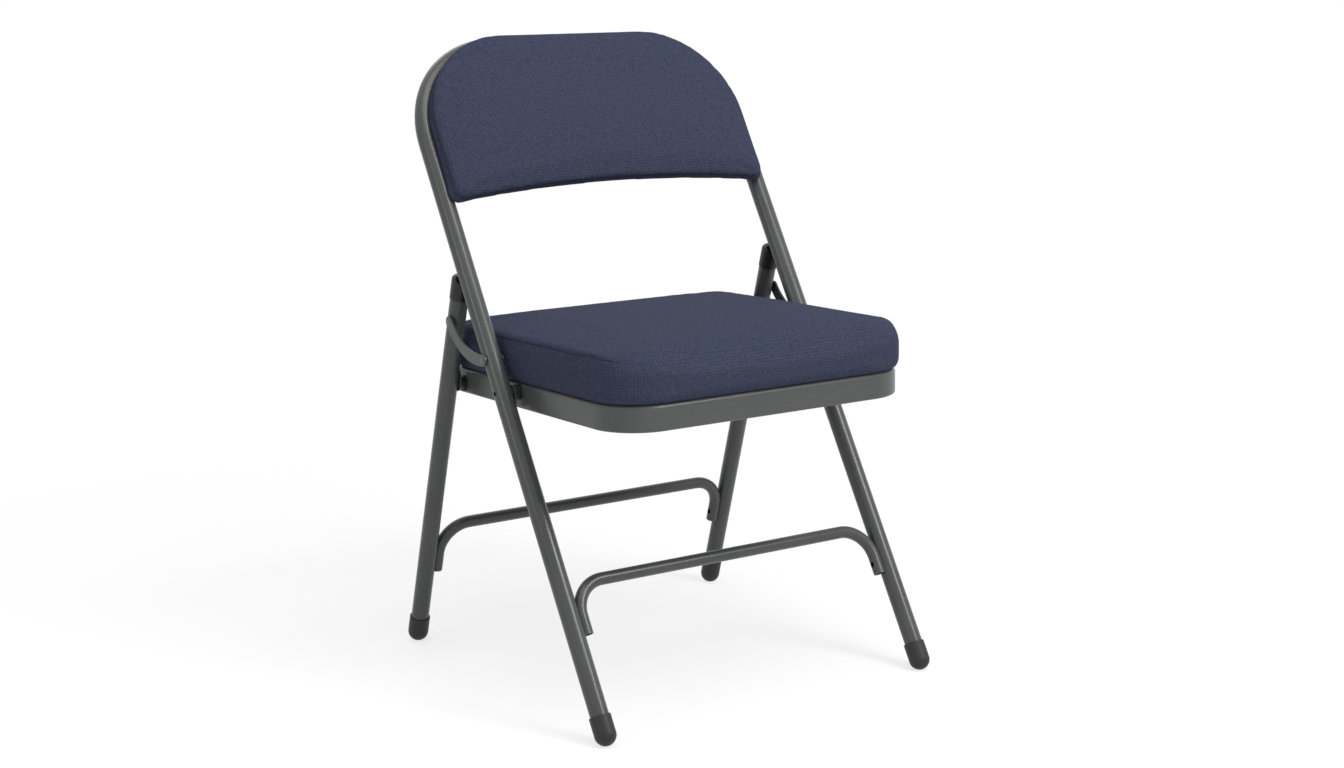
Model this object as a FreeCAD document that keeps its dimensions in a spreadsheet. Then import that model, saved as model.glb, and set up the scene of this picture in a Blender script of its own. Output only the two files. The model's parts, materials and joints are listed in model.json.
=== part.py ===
import FreeCAD, Part
import os
import Sketcher

# A steel folding chair with a padded seat and back. Millimetres and degrees, +Z up.
# +X is the sitter's left, the chair faces -Y, and the origin lies on the floor
# under the middle of the open chair.

X_AXIS = FreeCAD.Vector(1, 0, 0)
Z_AXIS = FreeCAD.Vector(0, 0, 1)
SIDES = {"left": 1, "right": -1}

doc = FreeCAD.newDocument("FoldingChair")

# ---------------------------------------------------------------- driving sizes

tube_sizes = {
    "tubeDiameter": 22.2,       # 7/8 inch tube, legs and back
    "tubeWall": 1.2,
    "braceDiameter": 15.0,
    "braceWall": 1.2,
    "frameWidth": 458.0,        # between the axes of the two front tubes
    "frameLength": 867.0,       # along the tube, from foot centre to top bar axis
    "archRadius": 127.0,        # bend of the tube axis at the top corners
    "frameLean": 31.9,          # front tubes from the vertical, leaning back
    "rearLean": 15.9,           # rear legs from the vertical, leaning forward
}

foot_sizes = {
    "footDiameter": 25.6,
    "footSleeve": 21.5,         # how far a foot reaches up its tube
    "footFlat": 1.0,            # depth of the flat that stands on the floor
    "footFit": 0.05,            # radial room of a foot or cap on its tube
}

linkage_sizes = {
    "seatPivotAlong": 413.6,    # up the front tube from its foot centre
    "seatTilt": 1.9,            # the seat is lower at the rear
    "hingeSpan": 133.4,         # rear pivot behind the front one, along the pan
    "hingeDrop": 8.9,           # rear pivot below the front one
    "linkPinAlong": 88.4,       # link pin above the rear pivot, up the rear leg
    "linkPinForward": 5.0,      # link pin in front of the rear leg's axis
    "foldClearance": 0.9,       # folded rear leg to front foot
}

pivot_sizes = {
    "pivotDiameter": 8.0,
    "pivotFit": 0.05,           # radial room of a pivot in its hole
    "pivotHeadDiameter": 12.0,
    "pivotHeadHeight": 1.8,
    "pivotTailDiameter": 11.0,
    "pivotTailHeight": 1.6,
    "hingeGap": 9.9,            # pan's side to the tube beside it
    "spacerDiameter": 16.0,
    "spacerFlange": 20.0,
    "spacerFlangeHeight": 1.5,
    "hingePlateThickness": 2.0,
    "hingePlateWidth": 17.0,
    "hingePlateReach": 10.5,    # between the centres of its two round ends
    "accessDiameter": 5.5,      # hole in the outer wall of the front tube
    "runGap": 0.3,              # side room between pieces that turn on each other
}

link_sizes = {
    "linkThickness": 2.4,
    "linkWidth": 14.0,
    "linkSag": 12.5,            # how far the link's middle bows below its chord
    "linkEdge": 0.5,
    "linkRivetDiameter": 6.0,
    "linkHeadDiameter": 8.0,
    "linkHeadHeight": 0.7,
    "linkTailDiameter": 9.0,
    "linkTailHeight": 1.2,
}

brace_sizes = {
    "braceBend": 39.0,          # bend of the brace axis
    "frontBraceAlong": 175.3,   # straight run of the front brace, up the tube
    "frontBraceEnd": 114.5,
    "rearBraceAlong": 151.5,
    "rearBraceEnd": 89.0,
    "bracePress": 3.4,          # how far an end is pressed in by the leg beside it
    "braceFit": 0.1,            # room between a leg and the pressed end
    "braceRivetRise": 13.0,     # rivet above the end of the brace
    "braceRivetDiameter": 4.8,
    "braceHeadDiameter": 6.2,
    "braceHeadHeight": 1.4,
    "braceAccess": 7.0,         # hole through which the rivet is set
}

cap_sizes = {
    "capDiameter": 23.8,
    "capBelow": 45.9,           # cap's lower edge below the place where the tubes' axes meet
    "capLength": 29.7,
    "capRound": 6.0,
    "capRoof": 14.0,            # solid end of the cap above the tube
    "stopGap": 0.3,             # cap to front tube when the chair is open
}

seat_sizes = {
    "panFront": 223.0,          # pan's front edge ahead of the seat pivot
    "panRear": 164.0,           # pan's rear edge behind the seat pivot
    "panBottom": 20.7,          # pan's lower edge below the seat pivot
    "panHeight": 31.0,
    "panWall": 1.2,
    "panCorner": 58.0,
    "panRearCorner": 21.5,      # leaves the side walls straight at the rear pivots
    "panShoulder": 5.0,
    "panHem": 3.5,
    "cushionOverhang": 4.0,
    "cushionRearCorner": 34.0,
    "cushionHeight": 61.0,
    "cushionShoulder": 12.0,
    "cushionUnder": 4.0,        # round of the cushion's lower edge
    "seatBoardThickness": 9.0,
    "seatBoardInset": 14.0,
    "strapHeight": 10.5,
    "strapThickness": 2.0,
    "softGap": 0.3,
}

back_sizes = {
    "panelThickness": 1.2,
    "panelLow": 668.0,          # panel's lower edge at its corners, up the tube
    "backBoardInset": 9.0,
    "padInset": 4.0,            # pad's outline inside the tube axis at the sides
    "padTopInset": 1.0,
    "padLow": 652.0,            # pad's lower edge at its corners, up the tube
    "padRise": 14.5,            # arch of the pad's lower edge
    "padCorner": 14.0,
    "padThickness": 19.0,
    "padShoulder": 6.0,
}

screw_sizes = {
    "screwDiameter": 4.0,
    "screwHeadDiameter": 9.0,
    "screwHeadHeight": 2.2,
    "screwBite": 7.0,           # thread inside the board
    "seatScrewSpanX": 250.0,
    "seatScrewSpanY": 220.0,
    "backScrewSpanX": 260.0,
    "backScrewSpanZ": 90.0,
    "backScrewLow": 44.0,       # lower screws above the panel's lower edge
}

size_groups = (tube_sizes, foot_sizes, linkage_sizes, pivot_sizes, link_sizes,
               brace_sizes, cap_sizes, seat_sizes, back_sizes, screw_sizes)

sheet = doc.addObject("Spreadsheet::Sheet", "Sizes")
row = 1
for group in size_groups:
    for name, value in group.items():
        sheet.set("A%d" % row, name)
        sheet.set("B%d" % row, str(value))
        sheet.setAlias("B%d" % row, name)
        row += 1
doc.recompute()

# ------------------------------------------------------- places that follow them

# Along = up the front tube from its foot centre, behind = square to it, to the rear.
places = {
    "tubeRadius": "Sizes.tubeDiameter / 2",
    "tubeBore": "tubeRadius - Sizes.tubeWall",
    "halfWidth": "Sizes.frameWidth / 2",
    "footRadius": "Sizes.footDiameter / 2",
    "footHeight": "footRadius - Sizes.footFlat",
    "braceRadius": "Sizes.braceDiameter / 2",
    "braceEndOffset": "halfWidth - tubeRadius - braceRadius + Sizes.bracePress",
    "foldLean": "Sizes.frameLean + Sizes.rearLean",
    "seatToFrame": "Sizes.frameLean - Sizes.seatTilt",
    "foldGap": "tubeRadius + footRadius + Sizes.foldClearance",
    "rearPivotAlong": "Sizes.seatPivotAlong + Sizes.hingeSpan * sin(seatToFrame)"
                      " - Sizes.hingeDrop * cos(seatToFrame)",
    "rearPivotBehind": "Sizes.hingeSpan * cos(seatToFrame) + Sizes.hingeDrop * sin(seatToFrame)",
    "pinAlong": "rearPivotAlong + Sizes.linkPinAlong * cos(foldLean)"
                " - Sizes.linkPinForward * sin(foldLean)",
    "pinBehind": "rearPivotBehind - Sizes.linkPinAlong * sin(foldLean)"
                 " - Sizes.linkPinForward * cos(foldLean)",
    "pivotDistance": "hypot(Sizes.hingeSpan; Sizes.hingeDrop)",
    "foldedPivotAlong": "Sizes.seatPivotAlong - sqrt(pivotDistance ^ 2 - foldGap ^ 2)",
    "foldedPinAlong": "foldedPivotAlong + Sizes.linkPinAlong",
    "foldedPinBehind": "foldGap - Sizes.linkPinForward",
    # the link's pivot on the front tube is as far from the open pin as from the folded one
    "linkPivotAlong": "(pinAlong ^ 2 + pinBehind ^ 2 - foldedPinAlong ^ 2 - foldedPinBehind ^ 2)"
                      " / (2 * (pinAlong - foldedPinAlong))",
    "linkLength": "hypot(pinAlong - linkPivotAlong; pinBehind)",
    "linkAngle": "atan2(pinBehind; pinAlong - linkPivotAlong) / 1 deg",
    "rearPivotHeight": "footHeight + rearPivotAlong * cos(Sizes.frameLean)"
                       " - rearPivotBehind * sin(Sizes.frameLean)",
    "rearPivotUp": "(rearPivotHeight - footHeight) / cos(Sizes.rearLean)",
    "rearFootBehind": "rearPivotAlong * sin(Sizes.frameLean) + rearPivotBehind * cos(Sizes.frameLean)"
                      " + rearPivotUp * sin(Sizes.rearLean)",
    "rearReach": "max(Sizes.frameLength * sin(Sizes.frameLean) + tubeRadius;"
                 " rearFootBehind + footRadius)",
    "frontFootY": "(footRadius - rearReach) / 2",
    "rearFootY": "frontFootY + rearFootBehind",
    "rearPivotY": "rearFootY - rearPivotUp * sin(Sizes.rearLean)",
    "seatPivotY": "frontFootY + Sizes.seatPivotAlong * sin(Sizes.frameLean)",
    "seatPivotZ": "footHeight + Sizes.seatPivotAlong * cos(Sizes.frameLean)",
    "linkPivotY": "frontFootY + linkPivotAlong * sin(Sizes.frameLean)",
    "linkPivotZ": "footHeight + linkPivotAlong * cos(Sizes.frameLean)",
    "pinY": "frontFootY + pinAlong * sin(Sizes.frameLean) + pinBehind * cos(Sizes.frameLean)",
    "pinZ": "footHeight + pinAlong * cos(Sizes.frameLean) - pinBehind * sin(Sizes.frameLean)",
    "tubesMeetUp": "rearPivotUp + rearPivotBehind / sin(foldLean)",
    "capBottom": "tubesMeetUp - Sizes.capBelow",
    "rearLegLength": "capBottom + Sizes.capLength - Sizes.capRoof",
    "panMiddle": "(Sizes.panRear - Sizes.panFront) / 2",
    "panTop": "Sizes.panHeight - Sizes.panBottom",
    "panHalf": "halfWidth - tubeRadius - Sizes.hingeGap",
    "pivotHole": "Sizes.pivotDiameter / 2 + Sizes.pivotFit",
    "linkHole": "Sizes.linkRivetDiameter / 2 + Sizes.pivotFit",
    "linkInner": "halfWidth + tubeRadius + Sizes.runGap",
    "linkOuter": "linkInner + Sizes.linkThickness",
    "linkBow": "(linkLength ^ 2 / 4 + Sizes.linkSag ^ 2) / (2 * Sizes.linkSag)",
    "pivotTailStart": "halfWidth - panHalf + Sizes.runGap"
                      " - sqrt(tubeBore ^ 2 - Sizes.pivotTailDiameter ^ 2 / 4)",
    "spacerLength": "Sizes.hingeGap - Sizes.runGap - Sizes.hingePlateThickness",
    "hingePlateInner": "panHalf + spacerLength",
    "linkHeadDrop": "(Sizes.linkHeadDiameter ^ 2 / 4 - Sizes.linkHeadHeight ^ 2)"
                    " / (2 * Sizes.linkHeadHeight)",
    "cushionHalf": "panHalf + Sizes.cushionOverhang",
    "cushionFront": "Sizes.panFront + Sizes.cushionOverhang",
    "cushionRear": "Sizes.panRear + Sizes.cushionOverhang",
    "cushionCorner": "Sizes.panCorner + Sizes.cushionOverhang",
    "cushionBottom": "panTop + Sizes.softGap",
    "seatScrewFront": "panMiddle - Sizes.seatScrewSpanY / 2",
    "screwReach": "Sizes.panWall + Sizes.screwBite",
    "backScrewUp": "Sizes.panelLow + Sizes.backScrewLow",
    "backBoardThickness": "tubeRadius - Sizes.panelThickness / 2",
    "padHalf": "halfWidth - Sizes.padInset",
    "padCornerTop": "Sizes.archRadius - Sizes.padInset",
    "padTop": "Sizes.frameLength - Sizes.padTopInset",
    "panelHalf": "halfWidth - tubeRadius",
    "panelTop": "Sizes.frameLength - tubeRadius",
    "panelCorner": "Sizes.archRadius - tubeRadius",
}

layout = doc.addObject("Spreadsheet::Sheet", "Layout")
for row, (name, formula) in enumerate(places.items(), start=1):
    layout.set("A%d" % row, name)
    layout.set("B%d" % row, "=" + formula)
    layout.setAlias("B%d" % row, name)
doc.recompute()


# ------------------------------------------------------------------- workshop


def size(formula):
    """The present value of a formula, used only to start a sketch near its answer."""
    return float(layout.evalExpression(formula))


def turn(axis, angle):
    return "rotation(vector(%s); %s)" % (axis, angle)


def place(item, x, y, z, rotation=turn("1; 0; 0", "0")):
    item.setExpression("Placement", "placement(vector(%s; %s; %s); %s)" % (x, y, z, rotation))


def place_on_frame(item, along="0"):
    """Z runs up the front tubes, Y is square to them, to the rear."""
    place(item, "0",
          "Layout.frontFootY + (%s) * sin(Sizes.frameLean)" % along,
          "Layout.footHeight + (%s) * cos(Sizes.frameLean)" % along,
          turn("1; 0; 0", "-Sizes.frameLean"))


def place_on_rear(item, x="0", along="0"):
    """Z runs up the rear legs, Y is square to them, to the rear."""
    place(item, x,
          "Layout.rearFootY - (%s) * sin(Sizes.rearLean)" % along,
          "Layout.footHeight + (%s) * cos(Sizes.rearLean)" % along,
          turn("1; 0; 0", "Sizes.rearLean"))


def place_on_seat(item, x="0"):
    """The origin is on the axis of the seat pivots, Y runs to the rear of the pan."""
    place(item, x, "Layout.seatPivotY", "Layout.seatPivotZ", turn("1; 0; 0", "-Sizes.seatTilt"))


def place_sideways(item, side, x, y, z):
    """Z points out from the chair, along the axis of a pivot."""
    place(item, "%d * (%s)" % (side, x), y, z, turn("0; 1; 0", "%d" % (90 * side)))


def new_body(label):
    body = doc.addObject("PartDesign::Body", label)
    body.Label = label
    return body


def new_sketch(body, name, role, offset="0"):
    sketch = body.newObject("Sketcher::SketchObject", name)
    plane = [item for item in body.Origin.OriginFeatures if item.Role == role][0]
    sketch.AttachmentSupport = [(plane, "")]
    sketch.MapMode = "FlatFace"
    sketch.setExpression("AttachmentOffset.Base.z", offset)
    return sketch


def bind(sketch, name, kind, formula, *where):
    """A dimension of the sketch that follows a formula."""
    index = sketch.addConstraint(Sketcher.Constraint(kind, *where, size(formula)))
    sketch.renameConstraint(index, name)
    sketch.setExpression("Constraints." + name, formula)


def constrain(sketch, kind, *where):
    sketch.addConstraint(Sketcher.Constraint(kind, *where))


def line(sketch, start, end):
    return sketch.addGeometry(Part.LineSegment(FreeCAD.Vector(*start, 0), FreeCAD.Vector(*end, 0)))


def arc(sketch, centre, radius, first, last):
    circle = Part.Circle(FreeCAD.Vector(*centre, 0), Z_AXIS, radius)
    return sketch.addGeometry(Part.ArcOfCircle(circle, first, last))


def round_hole(sketch, name, x, y, radius):
    centre = FreeCAD.Vector(size(x), size(y), 0)
    hole = sketch.addGeometry(Part.Circle(centre, Z_AXIS, size(radius)))
    bind(sketch, name + "X", "DistanceX", x, -1, 1, hole, 3)
    bind(sketch, name + "Y", "DistanceY", y, -1, 1, hole, 3)
    bind(sketch, name + "R", "Radius", radius, hole)


def add_pad(body, sketch, length, symmetric=False):
    pad = body.newObject("PartDesign::Pad", "Pad")
    pad.Profile = sketch
    pad.setExpression("Length", length)
    if symmetric:
        pad.SideType = "Symmetric"
    doc.recompute()
    return pad


def add_pocket(body, sketch, length=None, side="Symmetric", reverse=False):
    """Cuts to a length, or through everything where none is given."""
    pocket = body.newObject("PartDesign::Pocket", "Pocket")
    pocket.Profile = sketch
    pocket.SideType = side
    pocket.Reversed = reverse
    if length is None:
        pocket.Type = "ThroughAll"
    else:
        pocket.setExpression("Length", length)
    doc.recompute()
    return pocket


def edges_where(feature, test):
    return ["Edge%d" % (i + 1) for i, edge in enumerate(feature.Shape.Edges) if test(edge)]


def level_edges(feature, height):
    """Edges that lie flat at a height of the body's own frame."""
    return edges_where(feature, lambda edge: abs(edge.BoundBox.ZMin - height) < 0.01
                       and abs(edge.BoundBox.ZMax - height) < 0.01)


def add_fillet(body, feature, edges, radius):
    fillet = body.newObject("PartDesign::Fillet", "Fillet")
    fillet.Base = (feature, edges)
    fillet.setExpression("Radius", radius)
    doc.recompute()
    return fillet


def bent_tube(label, half, height, bend, radius, bore=None):
    """A tube bent to an upside-down U, its ends at height 0 and its top at the given height.
    Without a bore it is a solid bar."""
    body = new_body(label)
    section = new_sketch(body, label + "_section", "XY_Plane")
    round_hole(section, "outer", half, "0", radius)
    if bore:
        round_hole(section, "inner", half, "0", bore)

    path = new_sketch(body, label + "_path", "XZ_Plane")
    x, top, radius = size(half), size(height), size(bend)
    right_leg = line(path, (x, 0), (x, top - radius))
    right_bend = arc(path, (x - radius, top - radius), radius, 0, 1.5708)
    bar = line(path, (x - radius, top), (radius - x, top))
    left_bend = arc(path, (radius - x, top - radius), radius, 1.5708, 3.14159)
    left_leg = line(path, (-x, top - radius), (-x, 0))
    constrain(path, "Tangent", right_leg, 2, right_bend, 1)
    constrain(path, "Tangent", right_bend, 2, bar, 1)
    constrain(path, "Tangent", bar, 2, left_bend, 1)
    constrain(path, "Tangent", left_bend, 2, left_leg, 1)
    constrain(path, "Vertical", right_leg)
    constrain(path, "Horizontal", bar)
    constrain(path, "Vertical", left_leg)
    constrain(path, "Equal", right_bend, left_bend)
    constrain(path, "PointOnObject", right_leg, 1, -1)
    constrain(path, "PointOnObject", left_leg, 2, -1)
    bind(path, "rightX", "DistanceX", half, -1, 1, right_leg, 1)
    bind(path, "leftX", "DistanceX", half, left_leg, 2, -1, 1)
    bind(path, "topZ", "DistanceY", height, -1, 1, bar, 1)
    bind(path, "bend", "Radius", bend, right_bend)

    pipe = body.newObject("PartDesign::AdditivePipe", "Pipe")
    pipe.Profile = section
    pipe.Spine = (path, [])
    doc.recompute()
    return body


def turned(label, outline, rounds=()):
    """A solid of revolution about Z. The outline's corners are (radius, height), in order.
    A corner (height, "about", centre) is reached along a ball whose centre lies on the axis
    at that height, and ("crown", "about", centre) is the top of such a ball.
    Rounds are (height, radius) for the edges at a height."""
    body = new_body(label)
    sketch = new_sketch(body, label + "_outline", "XZ_Plane")
    corners = []
    for corner in outline:
        if len(corner) == 2:
            corners.append((size(corner[0]), size(corner[1])))
            continue
        centre = size(corner[2])
        reach = ((corners[-1][1] - centre) ** 2 + corners[-1][0] ** 2) ** 0.5
        if corner[0] == "crown":
            corners.append((0, centre + reach))
        else:
            height = size(corner[0])
            corners.append(((reach ** 2 - (height - centre) ** 2) ** 0.5, height))
    sides = []
    for i, corner in enumerate(outline):
        start, end = corners[i - 1], corners[i]
        if len(corner) == 3:
            centre = FreeCAD.Vector(0, size(corner[2]), 0)
            start, end = FreeCAD.Vector(*start, 0), FreeCAD.Vector(*end, 0)
            ball = Part.Circle(centre, Z_AXIS, start.distanceToPoint(centre))
            ball_arc = Part.ArcOfCircle(ball, ball.parameter(start), ball.parameter(end))
            sides.append(sketch.addGeometry(ball_arc))
        else:
            sides.append(line(sketch, start, end))
    for i, side in enumerate(sides):
        constrain(sketch, "Coincident", sides[i - 1], 2, side, 1)
    for i, (corner, side) in enumerate(zip(outline, sides)):
        if len(corner) == 3:
            constrain(sketch, "PointOnObject", side, 3, -2)
            bind(sketch, "centre%d" % i, "DistanceY", corner[2], -1, 1, side, 3)
            if corner[0] == "crown":
                constrain(sketch, "PointOnObject", side, 2, -2)
            else:
                bind(sketch, "height%d" % i, "DistanceY", corner[0], -1, 1, side, 2)
        else:
            bind(sketch, "radius%d" % i, "DistanceX", corner[0], -1, 1, side, 2)
            bind(sketch, "height%d" % i, "DistanceY", corner[1], -1, 1, side, 2)
    revolution = body.newObject("PartDesign::Revolution", "Revolution")
    revolution.Profile = sketch
    revolution.ReferenceAxis = (sketch, ["V_Axis"])
    revolution.Angle = 360
    doc.recompute()
    feature = revolution
    for height, radius in rounds:
        feature = add_fillet(body, feature, level_edges(feature, size(height)), radius)
    return body


def cut_away(label, base, tool):
    cut = doc.addObject("Part::Cut", label)
    cut.Label = label
    cut.Base = base
    cut.Tool = tool
    return cut


def gathered(label, items):
    """Identical fasteners kept in one node."""
    group = doc.addObject("Part::Compound", label)
    group.Label = label
    group.Links = items
    return group


def rounded_plate(sketch, half, front, rear, corner, rear_corner):
    """A rectangle from -front to rear along Y with round corners, equal on both sides."""
    x, low, high, r, q = size(half), -size(front), size(rear), size(corner), size(rear_corner)
    sides = [line(sketch, (r - x, low), (x - r, low)), line(sketch, (x, low + r), (x, high - q)),
             line(sketch, (x - q, high), (q - x, high)), line(sketch, (-x, high - q), (-x, low + r))]
    corners = [arc(sketch, (x - r, low + r), r, 4.71239, 6.28318),
               arc(sketch, (x - q, high - q), q, 0, 1.5708),
               arc(sketch, (q - x, high - q), q, 1.5708, 3.14159),
               arc(sketch, (r - x, low + r), r, 3.14159, 4.71239)]
    for i in range(4):
        constrain(sketch, "Tangent", sides[i], 2, corners[i], 1)
        constrain(sketch, "Tangent", corners[i], 2, sides[(i + 1) % 4], 1)
        constrain(sketch, "Vertical" if i % 2 else "Horizontal", sides[i])
    constrain(sketch, "Equal", corners[0], corners[3])
    constrain(sketch, "Equal", corners[1], corners[2])
    bind(sketch, "corner", "Radius", corner, corners[0])
    bind(sketch, "rearCorner", "Radius", rear_corner, corners[1])
    bind(sketch, "rightX", "DistanceX", half, -1, 1, sides[1], 1)
    bind(sketch, "leftX", "DistanceX", half, sides[3], 1, -1, 1)
    bind(sketch, "frontY", "DistanceY", front, sides[0], 1, -1, 1)
    bind(sketch, "rearY", "DistanceY", rear, -1, 1, sides[2], 1)


def arched_plate(sketch, half, top, corner, low, rise):
    """The backrest's outline: round upper corners and a lower edge that arches up."""
    x, high, r, bottom, bow = size(half), size(top), size(corner), size(low), size(rise)
    reach = (x ** 2 + bow ** 2) / (2 * bow)
    swing = Part.Circle(FreeCAD.Vector(0, bottom + bow - reach, 0), Z_AXIS, reach)
    first = swing.parameter(FreeCAD.Vector(x, bottom, 0))
    last = swing.parameter(FreeCAD.Vector(-x, bottom, 0))
    arch = sketch.addGeometry(Part.ArcOfCircle(swing, first, last))
    left = line(sketch, (-x, bottom), (-x, high - r))
    left_round = arc(sketch, (r - x, high - r), r, 1.5708, 3.14159)
    bar = line(sketch, (r - x, high), (x - r, high))
    right_round = arc(sketch, (x - r, high - r), r, 0, 1.5708)
    right = line(sketch, (x, high - r), (x, bottom))
    constrain(sketch, "Coincident", arch, 2, left, 1)
    constrain(sketch, "Tangent", left, 2, left_round, 2)
    constrain(sketch, "Tangent", left_round, 1, bar, 1)
    constrain(sketch, "Tangent", bar, 2, right_round, 2)
    constrain(sketch, "Tangent", right_round, 1, right, 1)
    constrain(sketch, "Coincident", right, 2, arch, 1)
    constrain(sketch, "Vertical", left)
    constrain(sketch, "Horizontal", bar)
    constrain(sketch, "Vertical", right)
    constrain(sketch, "Equal", left_round, right_round)
    bind(sketch, "leftX", "DistanceX", half, left, 1, -1, 1)
    bind(sketch, "rightX", "DistanceX", half, -1, 1, right, 2)
    bind(sketch, "topZ", "DistanceY", top, -1, 1, bar, 1)
    bind(sketch, "corner", "Radius", corner, left_round)
    bind(sketch, "leftLow", "DistanceY", low, -1, 1, left, 1)
    bind(sketch, "rightLow", "DistanceY", low, -1, 1, right, 2)
    bind(sketch, "arch", "Radius", "((%s) ^ 2 + (%s) ^ 2) / (2 * (%s))" % (half, rise, rise), arch)


def grid_holes(sketch, span_x, low_y, span_y, radius):
    """Four holes at the corners of a rectangle that is centred on the Y axis."""
    for i in range(4):
        x = "%s%s / 2" % ("-" if i % 2 else "", span_x)
        y = low_y if i < 2 else "%s + %s" % (low_y, span_y)
        round_hole(sketch, "hole%d" % i, x, y, radius)


# ---------------------------------------------------------- frame and backrest

nodes = {}


def front_frame():
    body = bent_tube("front_frame", "Layout.halfWidth", "Sizes.frameLength", "Sizes.archRadius",
                     "Layout.tubeRadius", "Layout.tubeBore")
    inner_holes = new_sketch(body, "inner_holes", "YZ_Plane")
    round_hole(inner_holes, "pivot", "0", "Sizes.seatPivotAlong", "Layout.pivotHole")
    round_hole(inner_holes, "rivet", "0", "Sizes.frontBraceEnd + Sizes.braceRivetRise",
               "Sizes.braceRivetDiameter / 2")
    add_pocket(body, inner_holes, "2 * Layout.halfWidth")
    through_holes = new_sketch(body, "through_holes", "YZ_Plane")
    round_hole(through_holes, "access", "0", "Sizes.seatPivotAlong", "Sizes.accessDiameter / 2")
    round_hole(through_holes, "link", "0", "Layout.linkPivotAlong", "Sizes.linkRivetDiameter / 2")
    add_pocket(body, through_holes)
    place_on_frame(body)
    nodes["front_frame"] = body


def foot(label, x, y, rotation_angle):
    """A moulded tip: ball end, sleeve over the tube, and a flat worn level with the floor."""
    bore = "Layout.tubeRadius + Sizes.footFit"
    body = turned(label + "_moulding", [
        ("0", "-Layout.footRadius"),
        ("0", "about", "0"),
        ("Layout.footRadius", "Sizes.footSleeve"),
        (bore, "Sizes.footSleeve"),
        (bore, "0"),
        ("0", "0")])
    floor = doc.addObject("Part::Box", label + "_floor")
    for side in ("Length", "Width", "Height"):
        floor.setExpression(side, "2 * Sizes.footDiameter")
    level = turn("1; 0; 0", "-(%s)" % rotation_angle)
    corner = "vector(-Sizes.footDiameter; -Sizes.footDiameter; -Layout.footHeight - 2 * Sizes.footDiameter)"
    floor.setExpression("Placement", "placement(%s * %s; %s)" % (level, corner, level))
    tip = cut_away(label, body, floor)
    place(tip, x, y, "Layout.footHeight", turn("1; 0; 0", rotation_angle))
    nodes[label] = tip


def brace_rivet(label, side, x, y, z):
    """Its head is inside the brace, its shank goes through the pressed side and the leg's wall."""
    shank = "Sizes.braceRivetDiameter / 2"
    head = "Sizes.braceHeadDiameter / 2"
    under_head = "-Sizes.braceFit - Sizes.braceWall"
    top = "%s - Sizes.braceHeadHeight" % under_head
    body = turned(label, [
        ("0", top),
        (head, top),
        (head, under_head),
        (shank, under_head),
        (shank, "Sizes.tubeWall"),
        ("0", "Sizes.tubeWall")])
    place_sideways(body, side, x, y, z)
    return body


def legs_beside(label, height, room):
    """What a pair of legs takes up next to a brace, with some room round them."""
    legs = []
    for name, side in SIDES.items():
        leg = doc.addObject("Part::Cylinder", "%s_%s" % (label, name))
        leg.setExpression("Radius", "Layout.tubeRadius + %s" % room)
        leg.setExpression("Height", height)
        place(leg, "%d * Layout.halfWidth" % side, "0", "0")
        legs.append(leg)
    return gathered(label, legs)


def brace(label, end, along):
    """A tube between two legs. Its ends are bent down along them and pressed in to fit them."""
    height = "%s - %s" % (along, end)
    bar = bent_tube(label + "_bar", "Layout.braceEndOffset", height, "Sizes.braceBend",
                    "Layout.braceRadius")
    holes = new_sketch(bar, label + "_holes", "YZ_Plane")
    round_hole(holes, "rivet", "0", "Sizes.braceRivetRise", "Sizes.braceRivetDiameter / 2")
    add_pocket(bar, holes)
    access_holes = new_sketch(bar, label + "_access_holes", "YZ_Plane")
    round_hole(access_holes, "access", "0", "Sizes.braceRivetRise", "Sizes.braceAccess / 2")
    add_pocket(bar, access_holes, "2 * Layout.braceEndOffset")
    core = bent_tube(label + "_core", "Layout.braceEndOffset", height, "Sizes.braceBend",
                     "Layout.braceRadius - Sizes.braceWall")
    outside = cut_away(label + "_outside", bar,
                       legs_beside(label + "_legs", height, "Sizes.braceFit"))
    inside = cut_away(label + "_inside", core,
                      legs_beside(label + "_walls", height, "Sizes.braceFit + Sizes.braceWall"))
    nodes[label] = cut_away(label, outside, inside)
    return nodes[label]


def brace_rivets(label, y, z):
    """The pair at the two ends of a brace."""
    rivets = [brace_rivet("%s_%s" % (label, name), side, "Layout.halfWidth - Layout.tubeRadius", y, z)
              for name, side in SIDES.items()]
    nodes[label] = gathered(label, rivets)


def front_brace():
    place_on_frame(brace("front_brace", "Sizes.frontBraceEnd", "Sizes.frontBraceAlong"),
                   "Sizes.frontBraceEnd")
    rivet_up = "(Sizes.frontBraceEnd + Sizes.braceRivetRise)"
    brace_rivets("front_brace_rivets",
                 "Layout.frontFootY + %s * sin(Sizes.frameLean)" % rivet_up,
                 "Layout.footHeight + %s * cos(Sizes.frameLean)" % rivet_up)


def rear_brace():
    place_on_rear(brace("rear_brace", "Sizes.rearBraceEnd", "Sizes.rearBraceAlong"),
                  along="Sizes.rearBraceEnd")
    rivet_up = "(Sizes.rearBraceEnd + Sizes.braceRivetRise)"
    brace_rivets("rear_brace_rivets",
                 "Layout.rearFootY - %s * sin(Sizes.rearLean)" % rivet_up,
                 "Layout.footHeight + %s * cos(Sizes.rearLean)" % rivet_up)


def back_panel():
    body = new_body("back_panel")
    outline = new_sketch(body, "panel_outline", "XZ_Plane")
    arched_plate(outline, "Layout.panelHalf", "Layout.panelTop", "Layout.panelCorner",
                 "Sizes.panelLow", "Sizes.padRise")
    add_pad(body, outline, "Sizes.panelThickness", symmetric=True)
    holes = new_sketch(body, "panel_holes", "XZ_Plane")
    grid_holes(holes, "Sizes.backScrewSpanX", "Layout.backScrewUp", "Sizes.backScrewSpanZ",
               "Sizes.screwDiameter / 2")
    add_pocket(body, holes)
    place_on_frame(body)
    nodes["back_panel"] = body


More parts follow.
